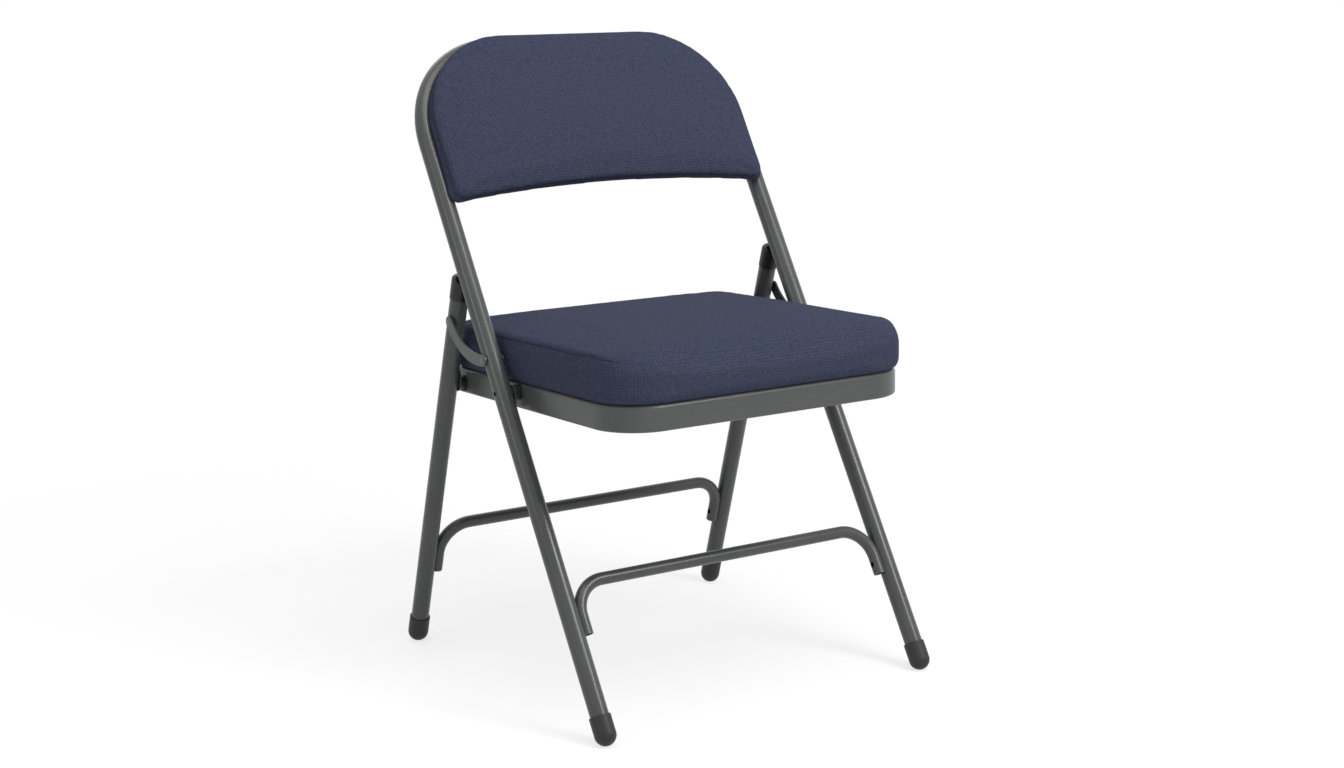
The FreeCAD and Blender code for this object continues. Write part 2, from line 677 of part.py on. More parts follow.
def back_board():
    body = new_body("back_board")
    outline = new_sketch(body, "back_board_outline", "XZ_Plane", "Sizes.panelThickness / 2")
    inset = "Sizes.backBoardInset"
    arched_plate(outline, "Layout.panelHalf - " + inset, "Layout.panelTop - " + inset,
                 "Layout.panelCorner - " + inset, "Sizes.panelLow + " + inset, "Sizes.padRise")
    add_pad(body, outline, "Layout.backBoardThickness")
    holes = new_sketch(body, "back_board_holes", "XZ_Plane", "Sizes.panelThickness / 2")
    grid_holes(holes, "Sizes.backScrewSpanX", "Layout.backScrewUp", "Sizes.backScrewSpanZ",
               "Sizes.screwDiameter / 2")
    add_pocket(body, holes, "Sizes.screwBite", side="One side", reverse=True)
    place_on_frame(body)
    nodes["back_board"] = body


def back_cushion():
    body = new_body("back_cushion")
    outline = new_sketch(body, "pad_outline", "XZ_Plane", "Layout.tubeRadius + Sizes.softGap")
    arched_plate(outline, "Layout.padHalf", "Layout.padTop", "Layout.padCornerTop",
                 "Sizes.padLow", "Sizes.padRise")
    pad = add_pad(body, outline, "Sizes.padThickness")
    rounded = add_fillet(body, pad, level_edges(pad, size("Sizes.padLow")), "Sizes.padCorner")
    front = -size("Layout.tubeRadius + Sizes.softGap + Sizes.padThickness")
    rim = edges_where(rounded, lambda edge: abs(edge.BoundBox.YMax - front) < 0.01)
    add_fillet(body, rounded, rim, "Sizes.padShoulder")
    place_on_frame(body)
    nodes["back_cushion"] = body


def screw(label):
    """Head below height 0, thread above it."""
    head = "Sizes.screwHeadDiameter / 2"
    return turned(label, [
        ("0", "-Sizes.screwHeadHeight"),
        (head, "-Sizes.screwHeadHeight"),
        (head, "0"),
        ("Sizes.screwDiameter / 2", "0"),
        ("Sizes.screwDiameter / 2", "Layout.screwReach"),
        ("0", "Layout.screwReach")])


def back_screws():
    screws = []
    for i in range(4):
        body = screw("back_screw_%d" % (i + 1))
        x = "%sSizes.backScrewSpanX / 2" % ("-" if i % 2 else "")
        z = "Layout.backScrewUp" + ("" if i < 2 else " + Sizes.backScrewSpanZ")
        place(body, x, "Sizes.panelThickness / 2", z, turn("1; 0; 0", "90"))
        screws.append(body)
    group = gathered("back_screws", screws)
    place_on_frame(group)
    nodes["back_screws"] = group


def link_pivot_rivet(label, side):
    """Through both walls of the front tube and the link, which turns on it."""
    shank = "Sizes.linkRivetDiameter / 2"
    head = "Sizes.linkHeadDiameter / 2"
    tail = "Sizes.linkTailDiameter / 2"
    under_head = "Layout.linkOuter - Layout.halfWidth + Sizes.runGap"
    body = turned(label, [
        ("0", "-Layout.tubeRadius - Sizes.linkTailHeight"),
        (tail, "-Layout.tubeRadius - Sizes.linkTailHeight"),
        (tail, "-Layout.tubeRadius"),
        (shank, "-Layout.tubeRadius"),
        (shank, under_head),
        (head, under_head),
        ("crown", "about", under_head + " - Layout.linkHeadDrop")])
    place_sideways(body, side, "Layout.halfWidth", "Layout.linkPivotY", "Layout.linkPivotZ")
    nodes[label] = body


# ------------------------------------------------------------------------ seat


def inset_outline(inset, *sizes):
    """Half width, front, rear and corners of a plate's outline, all smaller by the inset."""
    return ["%s - (%s)" % (item, inset) for item in sizes]


def pan_outline(inset="0"):
    return inset_outline(inset, "Layout.panHalf", "Sizes.panFront", "Sizes.panRear",
                         "Sizes.panCorner", "Sizes.panRearCorner")


def cushion_outline(inset="0"):
    return inset_outline(inset, "Layout.cushionHalf", "Layout.cushionFront", "Layout.cushionRear",
                         "Layout.cushionCorner", "Sizes.cushionRearCorner")


def rounded_slab(body, outline, low, height, upper_round, lower_round):
    sketch = new_sketch(body, body.Label + "_outline", "XY_Plane", low)
    rounded_plate(sketch, *outline)
    pad = add_pad(body, sketch, height)
    upper = add_fillet(body, pad, level_edges(pad, size("%s + %s" % (low, height))), upper_round)
    return add_fillet(body, upper, level_edges(upper, size(low)), lower_round)


def seat_pan():
    """The pressed pan: open below, with a round shoulder and a hem curled inwards."""
    blank = new_body("pan_blank")
    rounded_slab(blank, pan_outline(), "-Sizes.panBottom", "Sizes.panHeight",
                 "Sizes.panShoulder", "Sizes.panHem")
    sides = new_sketch(blank, "pan_pivot_holes", "YZ_Plane")
    round_hole(sides, "front", "0", "0", "Sizes.pivotDiameter / 2")
    round_hole(sides, "rear", "Sizes.hingeSpan", "-Sizes.hingeDrop", "Sizes.pivotDiameter / 2")
    add_pocket(blank, sides)
    top = new_sketch(blank, "pan_screw_holes", "XY_Plane")
    grid_holes(top, "Sizes.seatScrewSpanX", "Layout.seatScrewFront", "Sizes.seatScrewSpanY",
               "Sizes.screwDiameter / 2")
    add_pocket(blank, top)

    inside = new_body("pan_inside")
    rounded_slab(inside, pan_outline("Sizes.panWall"), "Sizes.panWall - Sizes.panBottom",
                 "Sizes.panHeight - 2 * Sizes.panWall",
                 "Sizes.panShoulder - Sizes.panWall", "Sizes.panHem - Sizes.panWall")
    mouth = new_sketch(inside, "pan_mouth", "XY_Plane", "-Sizes.panBottom - Sizes.panWall")
    rounded_plate(mouth, *pan_outline("Sizes.panHem"))
    add_pad(inside, mouth, "3 * Sizes.panWall")
    pan = cut_away("seat_pan", blank, inside)
    place_on_seat(pan)
    nodes["seat_pan"] = pan


def hinge_strap(label, side):
    """A steel strap inside the pan's side wall, from pivot to pivot."""
    body = new_body(label)
    inner = "Layout.panHalf - Sizes.panWall"
    offset = inner + " - Sizes.strapThickness" if side > 0 else "-(%s)" % inner
    outline = new_sketch(body, label + "_outline", "YZ_Plane", offset)
    y, z, r = size("Sizes.hingeSpan"), -size("Sizes.hingeDrop"), size("Sizes.strapHeight / 2")
    front = arc(outline, (0, 0), r, 1.5708, 4.71239)
    lower = line(outline, (0, -r), (y, z - r))
    rear = arc(outline, (y, z), r, 4.71239, 7.85398)
    upper = line(outline, (y, z + r), (0, r))
    constrain(outline, "Coincident", front, 3, -1, 1)
    bind(outline, "spanY", "DistanceX", "Sizes.hingeSpan", -1, 1, rear, 3)
    bind(outline, "dropZ", "DistanceY", "Sizes.hingeDrop", rear, 3, -1, 1)
    bind(outline, "round", "Radius", "Sizes.strapHeight / 2", front)
    constrain(outline, "Equal", front, rear)
    constrain(outline, "Tangent", front, 2, lower, 1)
    constrain(outline, "Tangent", lower, 2, rear, 1)
    constrain(outline, "Tangent", rear, 2, upper, 1)
    constrain(outline, "Tangent", upper, 2, front, 1)
    round_hole(outline, "frontHole", "0", "0", "Sizes.pivotDiameter / 2")
    round_hole(outline, "rearHole", "Sizes.hingeSpan", "-Sizes.hingeDrop", "Sizes.pivotDiameter / 2")
    add_pad(body, outline, "Sizes.strapThickness")
    place_on_seat(body)
    nodes[label] = body


def seat_board():
    body = new_body("seat_board")
    outline = new_sketch(body, "seat_board_outline", "XY_Plane", "Layout.panTop")
    rounded_plate(outline, *cushion_outline("Sizes.seatBoardInset"))
    add_pad(body, outline, "Sizes.seatBoardThickness")
    holes = new_sketch(body, "seat_board_holes", "XY_Plane", "Layout.panTop")
    grid_holes(holes, "Sizes.seatScrewSpanX", "Layout.seatScrewFront", "Sizes.seatScrewSpanY",
               "Sizes.screwDiameter / 2")
    add_pocket(body, holes, "Sizes.screwBite", side="One side", reverse=True)
    place_on_seat(body)
    nodes["seat_board"] = body


def seat_cushion():
    body = new_body("seat_cushion")
    rounded_slab(body, cushion_outline(), "Layout.cushionBottom", "Sizes.cushionHeight",
                 "Sizes.cushionShoulder", "Sizes.cushionUnder")
    recess = new_sketch(body, "cushion_recess", "XY_Plane", "Layout.cushionBottom")
    rounded_plate(recess, *cushion_outline("Sizes.seatBoardInset - Sizes.softGap"))
    add_pocket(body, recess, "Sizes.seatBoardThickness", side="One side", reverse=True)
    place_on_seat(body)
    nodes["seat_cushion"] = body


def seat_screws():
    screws = []
    for i in range(4):
        body = screw("seat_screw_%d" % (i + 1))
        x = "%sSizes.seatScrewSpanX / 2" % ("-" if i % 2 else "")
        y = "Layout.seatScrewFront" + ("" if i < 2 else " + Sizes.seatScrewSpanY")
        place(body, x, y, "Layout.panTop - Sizes.panWall")
        screws.append(body)
    group = gathered("seat_screws", screws)
    place_on_seat(group)
    nodes["seat_screws"] = group


def spacer(label, side, y, z):
    """A flanged bush between the pan and the hinge plate."""
    bore = "Sizes.pivotDiameter / 2"
    body = turned(label, [
        (bore, "0"),
        ("Sizes.spacerFlange / 2", "0"),
        ("Sizes.spacerFlange / 2", "Sizes.spacerFlangeHeight"),
        ("Sizes.spacerDiameter / 2", "Sizes.spacerFlangeHeight"),
        ("Sizes.spacerDiameter / 2", "Layout.spacerLength"),
        (bore, "Layout.spacerLength")])
    place_sideways(body, side, "Layout.panHalf", y, z)
    nodes[label] = body


def hinge_plate(label, side, y, z, reach):
    """A steel plate beside the tube, with round ends. Its pivot is in one of them."""
    body = new_body(label)
    inner = "Layout.hingePlateInner"
    offset = inner if side > 0 else "-(%s) - Sizes.hingePlateThickness" % inner
    outline = new_sketch(body, label + "_outline", "YZ_Plane", offset)
    r, up = size("Sizes.hingePlateWidth / 2"), size(reach)
    low, high = min(0, up), max(0, up)
    lower = arc(outline, (0, low), r, 3.14159, 6.28318)
    right = line(outline, (r, low), (r, high))
    upper = arc(outline, (0, high), r, 0, 3.14159)
    left = line(outline, (-r, high), (-r, low))
    constrain(outline, "Tangent", lower, 2, right, 1)
    constrain(outline, "Tangent", right, 2, upper, 1)
    constrain(outline, "Tangent", upper, 2, left, 1)
    constrain(outline, "Tangent", left, 2, lower, 1)
    constrain(outline, "Vertical", right)
    constrain(outline, "Coincident", upper if up < 0 else lower, 3, -1, 1)
    constrain(outline, "PointOnObject", lower if up < 0 else upper, 3, -2)
    bind(outline, "round", "Radius", "Sizes.hingePlateWidth / 2", lower)
    bind(outline, "reach", "DistanceY", "Sizes.hingePlateReach", lower, 3, upper, 3)
    round_hole(outline, "pivot", "0", "0", "Sizes.pivotDiameter / 2")
    add_pad(body, outline, "Sizes.hingePlateThickness")
    place(body, "0", y, z, turn("1; 0; 0", "-Sizes.seatTilt"))
    nodes[label] = body


def pivot_rivet(label, side, y, z):
    """From the strap inside the pan, through spacer and plate, into the tube's inner wall."""
    shank = "Sizes.pivotDiameter / 2"
    head = "Sizes.pivotHeadDiameter / 2"
    under_head = "-Sizes.panWall - Sizes.strapThickness"
    tail = "Sizes.pivotTailDiameter / 2"
    body = turned(label, [
        ("0", under_head + " - Sizes.pivotHeadHeight"),
        (head, under_head + " - Sizes.pivotHeadHeight"),
        (head, under_head),
        (shank, under_head),
        (shank, "Layout.pivotTailStart"),
        (tail, "Layout.pivotTailStart"),
        (tail, "Layout.pivotTailStart + Sizes.pivotTailHeight"),
        ("0", "Layout.pivotTailStart + Sizes.pivotTailHeight")])
    place_sideways(body, side, "Layout.panHalf", y, z)
    nodes[label] = body


# ------------------------------------------------------------------- rear legs


def rear_leg(label, side):
    body = new_body(label)
    section = new_sketch(body, label + "_section", "XY_Plane")
    round_hole(section, "outer", "0", "0", "Layout.tubeRadius")
    round_hole(section, "inner", "0", "0", "Layout.tubeBore")
    add_pad(body, section, "Layout.rearLegLength")
    holes = new_sketch(body, label + "_holes", "YZ_Plane")
    round_hole(holes, "pivot", "0", "Layout.rearPivotUp", "Layout.pivotHole")
    round_hole(holes, "rivet", "0", "Sizes.rearBraceEnd + Sizes.braceRivetRise",
               "Sizes.braceRivetDiameter / 2")
    add_pocket(body, holes, side="One side", reverse=side < 0)
    place_on_rear(body, "%d * Layout.halfWidth" % side)
    nodes[label] = body


def rear_cap(label, side):
    """A cap over the top of a rear leg, cut to a face that bears on the back of the front tube."""
    bore = "Layout.tubeRadius + Sizes.footFit"
    body = turned(label + "_moulding", [
        (bore, "Layout.capBottom"),
        ("Sizes.capDiameter / 2", "Layout.capBottom"),
        ("Sizes.capDiameter / 2", "Layout.capBottom + Sizes.capLength"),
        ("0", "Layout.capBottom + Sizes.capLength"),
        ("0", "Layout.rearLegLength"),
        (bore, "Layout.rearLegLength")],
        rounds=[("Layout.capBottom + Sizes.capLength", "Sizes.capRound")])
    tube_space = doc.addObject("Part::Box", label + "_tube_space")
    for edge in ("Length", "Width", "Height"):
        tube_space.setExpression(edge, "3 * Sizes.capLength")
    lean = turn("1; 0; 0", "-Layout.foldLean")
    corner = ("vector(-1.5 * Sizes.capLength;"
              " Layout.tubeRadius + Sizes.stopGap - 3 * Sizes.capLength; -1.5 * Sizes.capLength)")
    tube_space.setExpression("Placement", "placement(vector(0; 0; Layout.tubesMeetUp) + %s * %s; %s)"
                             % (lean, corner, lean))
    cap = cut_away(label, body, tube_space)
    place_on_rear(cap, "%d * Layout.halfWidth" % side)
    nodes[label] = cap


# ----------------------------------------------------------------------- links


def link(label, side):
    """A curved flat bar outside the tubes, from the front tube to the rear leg."""
    body = new_body(label)
    outline = new_sketch(body, label + "_outline", "YZ_Plane")
    length, bow, r = size("Layout.linkLength"), size("Layout.linkBow"), size("Sizes.linkWidth / 2")
    middle = (size("Sizes.linkSag") - bow, length / 2)
    reach = FreeCAD.Vector(-middle[0], -middle[1], 0)
    low, high = -1 * reach.getAngle(X_AXIS), reach.getAngle(X_AXIS)
    outer = arc(outline, middle, bow + r, low, high)
    inner = arc(outline, middle, bow - r, low, high)
    front = arc(outline, (0, 0), r, low - 3.14159, low)
    rear = arc(outline, (0, length), r, high, high + 3.14159)
    constrain(outline, "Coincident", front, 3, -1, 1)
    constrain(outline, "PointOnObject", rear, 3, -2)
    bind(outline, "reach", "DistanceY", "Layout.linkLength", -1, 1, rear, 3)
    bind(outline, "round", "Radius", "Sizes.linkWidth / 2", front)
    bind(outline, "bow", "DistanceX", "Layout.linkBow - Sizes.linkSag", outer, 3, -1, 1)
    constrain(outline, "Coincident", outer, 3, inner, 3)
    constrain(outline, "Tangent", outer, 1, front, 2)
    constrain(outline, "Tangent", inner, 1, front, 1)
    constrain(outline, "Tangent", outer, 2, rear, 1)
    constrain(outline, "Tangent", inner, 2, rear, 2)
    round_hole(outline, "pivotHole", "0", "0", "Layout.linkHole")
    round_hole(outline, "pinHole", "0", "Layout.linkLength", "Sizes.linkRivetDiameter / 2")
    pad = add_pad(body, outline, "Sizes.linkThickness")
    rims = edges_where(pad, lambda edge: edge.BoundBox.XLength < 0.01 and edge.Length > 30)
    add_fillet(body, pad, rims, "Sizes.linkEdge")
    x = "Layout.linkInner" if side > 0 else "-Layout.linkOuter"
    place(body, x, "Layout.linkPivotY", "Layout.linkPivotZ",
          turn("1; 0; 0", "-Sizes.frameLean - Layout.linkAngle"))
    nodes[label] = body


def link_rear_rivet(label, side):
    """Rides on the link and ends flush with its inner face, clear of the leg."""
    shank = "Sizes.linkRivetDiameter / 2"
    head = "Sizes.linkHeadDiameter / 2"
    body = turned(label, [
        ("0", "0"),
        (shank, "0"),
        (shank, "Sizes.linkThickness"),
        (head, "Sizes.linkThickness"),
        ("crown", "about", "Sizes.linkThickness - Layout.linkHeadDrop")])
    place_sideways(body, side, "Layout.linkInner", "Layout.pinY", "Layout.pinZ")
    nodes[label] = body


# ------------------------------------------------------------------- the chair

front_frame()
front_brace()
back_panel()
back_board()
back_cushion()
back_screws()
seat_pan()
seat_board()
seat_cushion()
seat_screws()
rear_brace()
for name, side in SIDES.items():
    foot("front_foot_" + name, "%d * Layout.halfWidth" % side, "Layout.frontFootY", "-Sizes.frameLean")
    foot("rear_foot_" + name, "%d * Layout.halfWidth" % side, "Layout.rearFootY", "Sizes.rearLean")
    link_pivot_rivet("link_pivot_rivet_" + name, side)
    hinge_strap("hinge_strap_" + name, side)
    spacer("front_spacer_" + name, side, "Layout.seatPivotY", "Layout.seatPivotZ")
    spacer("rear_spacer_" + name, side, "Layout.rearPivotY", "Layout.rearPivotHeight")
    hinge_plate("front_hinge_plate_" + name, side, "Layout.seatPivotY", "Layout.seatPivotZ",
                "-Sizes.hingePlateReach")
    hinge_plate("rear_hinge_plate_" + name, side, "Layout.rearPivotY", "Layout.rearPivotHeight",
                "Sizes.hingePlateReach")
    pivot_rivet("seat_pivot_rivet_" + name, side, "Layout.seatPivotY", "Layout.seatPivotZ")
    pivot_rivet("leg_pivot_rivet_" + name, side, "Layout.rearPivotY", "Layout.rearPivotHeight")
    rear_leg("rear_leg_" + name, side)
    rear_cap("rear_cap_" + name, side)
    link("link_" + name, side)
    link_rear_rivet("link_rear_rivet_" + name, side)
doc.recompute()

for item in doc.Objects:
    if "Invalid" in item.State or "Error" in item.State:
        raise RuntimeError("%s failed: %s" % (item.Label, item.getStatusString()))
for label, item in nodes.items():
    if item.Label != label or item.Shape.isNull() or not item.Shape.isValid():
        raise RuntimeError("%s has no valid shape" % label)

os.makedirs("parts", exist_ok=True)
for label, item in nodes.items():
    item.Shape.exportStep("parts/%s.step" % label)
    print("%-26s %2d solid(s) %10.0f mm3" % (label, len(item.Shape.Solids), item.Shape.Volume))
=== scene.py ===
import json
import math
import bpy
from mathutils import Matrix, Vector, bvhtree, kdtree


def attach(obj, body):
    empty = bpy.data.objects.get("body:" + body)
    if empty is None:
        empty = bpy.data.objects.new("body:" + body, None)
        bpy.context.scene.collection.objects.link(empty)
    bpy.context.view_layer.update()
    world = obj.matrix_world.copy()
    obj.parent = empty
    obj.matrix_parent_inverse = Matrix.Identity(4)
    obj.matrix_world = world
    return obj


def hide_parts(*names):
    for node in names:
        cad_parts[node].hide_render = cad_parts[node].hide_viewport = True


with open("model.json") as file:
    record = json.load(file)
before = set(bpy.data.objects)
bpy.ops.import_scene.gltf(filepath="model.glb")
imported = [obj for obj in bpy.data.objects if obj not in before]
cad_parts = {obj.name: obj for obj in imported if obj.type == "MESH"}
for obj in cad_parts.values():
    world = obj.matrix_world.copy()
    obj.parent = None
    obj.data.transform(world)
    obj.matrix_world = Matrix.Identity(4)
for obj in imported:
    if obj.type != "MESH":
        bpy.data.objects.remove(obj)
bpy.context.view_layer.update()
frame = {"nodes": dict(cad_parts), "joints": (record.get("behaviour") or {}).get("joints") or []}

# Folding chair with a padded seat and back. Metres, +Z up, the chair faces -Y.

print("stage: camera")

cameraSet = {
    "target": (-0.002, -0.026, 0.35035),
    "distance": 2.6248,
    "azimuth": -34.125,     # degrees round the chair, 0 is straight from the front
    "elevation": 11.727,
    "lens": 57.741,
    "sensorWidth": 36,
}


def directionTo(azimuth, elevation):
    a, e = math.radians(azimuth), math.radians(elevation)
    return Vector((math.sin(a) * math.cos(e), -math.cos(a) * math.cos(e), math.sin(e)))


def addCamera():
    back = directionTo(cameraSet["azimuth"], cameraSet["elevation"])
    data = bpy.data.cameras.new("camera")
    data.lens = cameraSet["lens"]
    data.sensor_width = cameraSet["sensorWidth"]
    camera = bpy.data.objects.new("camera", data)
    bpy.context.scene.collection.objects.link(camera)
    camera.location = Vector(cameraSet["target"]) + back * cameraSet["distance"]
    camera.rotation_euler = (-back).to_track_quat("-Z", "Y").to_euler()
    bpy.context.scene.camera = camera


addCamera()

print("stage: light and floor")

studio = {
    "skyLight": 0.64,       # what the world adds to matt surfaces
    "lampDistance": 2.6,
    "lamps": [              # name, azimuth, elevation, size, power
        ("keyLamp", 27, 37, 0.9, 33),
        ("highLamp", 22, 62, 0.9, 18),
        ("fillLamp", -82, 26, 0.6, 5),
        ("topLamp", -40, 80, 1.5, 20),
        ("rearLamp", 170, 42, 1.4, 6),
    ],
    "floorTone": 0.86,
    "floorGlow": 0.72,      # share of the floor's white that shadows can't darken
    "shadowReach": (0.45, 1.5),     # beyond the second distance the floor is plain white
    "floorSize": 30.0,
    "floorDrop": 0.0005,    # the floor lies this far under the feet
}


def addLamp(name, azimuth, elevation, across, power):
    data = bpy.data.lights.new(name, "AREA")
    data.shape = "DISK"
    data.size = across
    data.energy = power
    lamp = bpy.data.objects.new(name, data)
    bpy.context.scene.collection.objects.link(lamp)
    away = directionTo(azimuth, elevation)
    lamp.location = Vector(cameraSet["target"]) + away * studio["lampDistance"]
    lamp.rotation_euler = (-away).to_track_quat("-Z", "Y").to_euler()


def seenDirectly(nodes, links):
    # 1 for what the camera sees, directly, in a reflection or through glass
    path = nodes.new("ShaderNodeLightPath")
    first = nodes.new("ShaderNodeMath")
    first.operation = "MAXIMUM"
    second = nodes.new("ShaderNodeMath")
    second.operation = "MAXIMUM"
    links.new(path.outputs["Is Camera Ray"], first.inputs[0])
    links.new(path.outputs["Is Glossy Ray"], first.inputs[1])
    links.new(first.outputs[0], second.inputs[0])
    links.new(path.outputs["Is Transmission Ray"], second.inputs[1])
    return second.outputs[0]


def addWorld():
    world = bpy.data.worlds.new("studioWorld")
    bpy.context.scene.world = world
    world.use_nodes = True
    nodes, links = world.node_tree.nodes, world.node_tree.links
    background = nodes["Background"]
    background.inputs["Color"].default_value = (1, 1, 1, 1)
    strength = nodes.new("ShaderNodeMapRange")
    strength.inputs["To Min"].default_value = studio["skyLight"]
    strength.inputs["To Max"].default_value = 1.0
    links.new(seenDirectly(nodes, links), strength.inputs["Value"])
    links.new(strength.outputs["Result"], background.inputs["Strength"])


def addFloor():
    bpy.ops.mesh.primitive_plane_add(size=studio["floorSize"], location=(0, 0, -studio["floorDrop"]))
    floor = bpy.context.object
    floor.name = "floor"
    material = bpy.data.materials.new("paleFloor")
    material.use_nodes = True
    nodes, links = material.node_tree.nodes, material.node_tree.links
    nodes.clear()
    matt = nodes.new("ShaderNodeBsdfDiffuse")
    tone = studio["floorTone"]
    matt.inputs["Color"].default_value = (tone, tone, tone, 1)
    glow = nodes.new("ShaderNodeEmission")
    glow.inputs["Strength"].default_value = 1.0
    place = nodes.new("ShaderNodeTexCoord")
    away = nodes.new("ShaderNodeVectorMath")
    away.operation = "LENGTH"
    links.new(place.outputs["Object"], away.inputs[0])
    rising = nodes.new("ShaderNodeMapRange")
    rising.interpolation_type = "SMOOTHSTEP"
    rising.inputs["From Min"].default_value = studio["shadowReach"][0]
    rising.inputs["From Max"].default_value = studio["shadowReach"][1]
    rising.inputs["To Min"].default_value = studio["floorGlow"]
    links.new(away.outputs["Value"], rising.inputs["Value"])
    share = nodes.new("ShaderNodeMath")
    share.operation = "MULTIPLY"
    links.new(rising.outputs["Result"], share.inputs[1])
    blend = nodes.new("ShaderNodeMixShader")
    output = nodes.new("ShaderNodeOutputMaterial")
    links.new(seenDirectly(nodes, links), share.inputs[0])
    links.new(share.outputs[0], blend.inputs["Fac"])
    links.new(matt.outputs[0], blend.inputs[1])
    links.new(glow.outputs[0], blend.inputs[2])
    links.new(blend.outputs[0], output.inputs["Surface"])
    floor.data.materials.append(material)


for lampValues in studio["lamps"]:
    addLamp(*lampValues)
addWorld()
addFloor()
bpy.context.scene.view_settings.view_transform = "Standard"

print("stage: materials")


def newGroup(name, inputs, outputs):
    # inputs and outputs are (name, socket type, default)
    group = bpy.data.node_groups.new(name, "ShaderNodeTree")
    for way, sockets in (("INPUT", inputs), ("OUTPUT", outputs)):
        for label, kind, value in sockets:
            socket = group.interface.new_socket(name=label, in_out=way, socket_type=kind)
            if value is not None:
                socket.default_value = value
    return group, group.nodes.new("NodeGroupInput"), group.nodes.new("NodeGroupOutput")


def mathNode(group, operation, *values):
    node = group.nodes.new("ShaderNodeMath")
    node.operation = operation
    for i, value in enumerate(values):
        if isinstance(value, (int, float)):
            node.inputs[i].default_value = value
        else:
            group.links.new(value, node.inputs[i])
    return node.outputs[0]


def noiseNode(group, vector, scale, detail, roughness=0.5):
    node = group.nodes.new("ShaderNodeTexNoise")
    node.inputs["Detail"].default_value = detail
    node.inputs["Roughness"].default_value = roughness
    if isinstance(scale, (int, float)):
        node.inputs["Scale"].default_value = scale
    else:
        group.links.new(scale, node.inputs["Scale"])
    group.links.new(vector, node.inputs["Vector"])
    return node.outputs["Fac"]


def mapNode(group, value, low, high, toLow, toHigh):
    node = group.nodes.new("ShaderNodeMapRange")
    node.inputs["From Min"].default_value = low
    node.inputs["From Max"].default_value = high
    node.inputs["To Min"].default_value = toLow
    node.inputs["To Max"].default_value = toHigh
    group.links.new(value, node.inputs["Value"])
    return node.outputs["Result"]


def mixColours(group, factor, first, second):
    node = group.nodes.new("ShaderNodeMix")
    node.data_type = "RGBA"
    for label, value in (("Factor", factor), ("A", first), ("B", second)):
        socket = node.inputs[label]
        if isinstance(value, (tuple, float, int)):
            socket.default_value = value
        else:
            group.links.new(value, socket)
    return node.outputs["Result"]


paintSet = {
    "peelScale": 900.0,
    "cloudScale": 14.0,
    "speckScale": 420.0,
    "noiseSpan": (0.3, 0.7),        # the part of the noise that is used
    "cloudTone": (0.93, 1.07),
    "speckTone": (0.96, 1.05),
    "cloudRoughness": (0.9, 1.12),
    "peelStrength": 0.06,
}


def buildPaintGroup():
    # powder coat: fine orange peel, faint cloudiness and a fine speckle in its tone
    group, given, made = newGroup("powderCoat", [
        ("Vector", "NodeSocketVector", None), ("Color", "NodeSocketColor", (0.1, 0.1, 0.1, 1)),
        ("Peel Scale", "NodeSocketFloat", paintSet["peelScale"]), ("Roughness", "NodeSocketFloat", 0.4)], [
        ("Color", "NodeSocketColor", None), ("Roughness", "NodeSocketFloat", None),
        ("Height", "NodeSocketFloat", None)])
    place = given.outputs["Vector"]
    peel = noiseNode(group, place, given.outputs["Peel Scale"], 2.0)
    cloud = noiseNode(group, place, paintSet["cloudScale"], 3.0)
    speck = noiseNode(group, place, paintSet["speckScale"], 1.0)
    span = paintSet["noiseSpan"]
    lighter = mapNode(group, cloud, *span, *paintSet["cloudTone"])
    speckled = mathNode(group, "MULTIPLY", lighter, mapNode(group, speck, *span, *paintSet["speckTone"]))
    tinted = group.nodes.new("ShaderNodeVectorMath")
    tinted.operation = "SCALE"
    group.links.new(given.outputs["Color"], tinted.inputs[0])
    group.links.new(speckled, tinted.inputs["Scale"])
    group.links.new(tinted.outputs[0], made.inputs["Color"])
    uneven = mapNode(group, cloud, *span, *paintSet["cloudRoughness"])
    rough = mathNode(group, "MULTIPLY", given.outputs["Roughness"], uneven)
    group.links.new(rough, made.inputs["Roughness"])
    group.links.new(peel, made.inputs["Height"])
    return group


fabricSet = {
    "pitch": 0.0032,        # from bundle to bundle
    "warp": (0.047, 0.041, 0.083),
    "weft": (0.0295, 0.046, 0.065),
    # painted shade: the colour of the weave's gaps, darker than the threads, for the shade between the
    # bundles
    "gapShade": (0.0255, 0.029, 0.048),
    "gapShadeReach": 0.6,        # height at which the painted shade in the gaps is gone
    "threadDepth": 0.0004,
    "threadStrength": 0.5,
    "yarnShape": (0.5, 0.75),       # a bundle's two yarns: swell and least height
    "crownShape": (0.7, 0.3),       # the same along a bundle
    "wander": 0.0012,       # threads are never quite straight
    "wanderScale": 60.0,
    "blendPower": 6.0,      # how sharply one plane's weave gives way to the next
    "yarnScale": 330.0,
    "yarnSpan": (0.3, 0.7),
    "yarnTone": (0.84, 1.16),
    "heatherScale": 200.0,
    "heatherRoughness": 0.6,
    "heatherSpan": (0.35, 0.65),
    "heatherTone": (0.2, 0.8),
    "heatherShare": 0.3,    # of the dye; the weave's two directions have the rest
    "weaveShare": 0.7,
    "roughness": 0.95,
    "specular": 0.05,
}


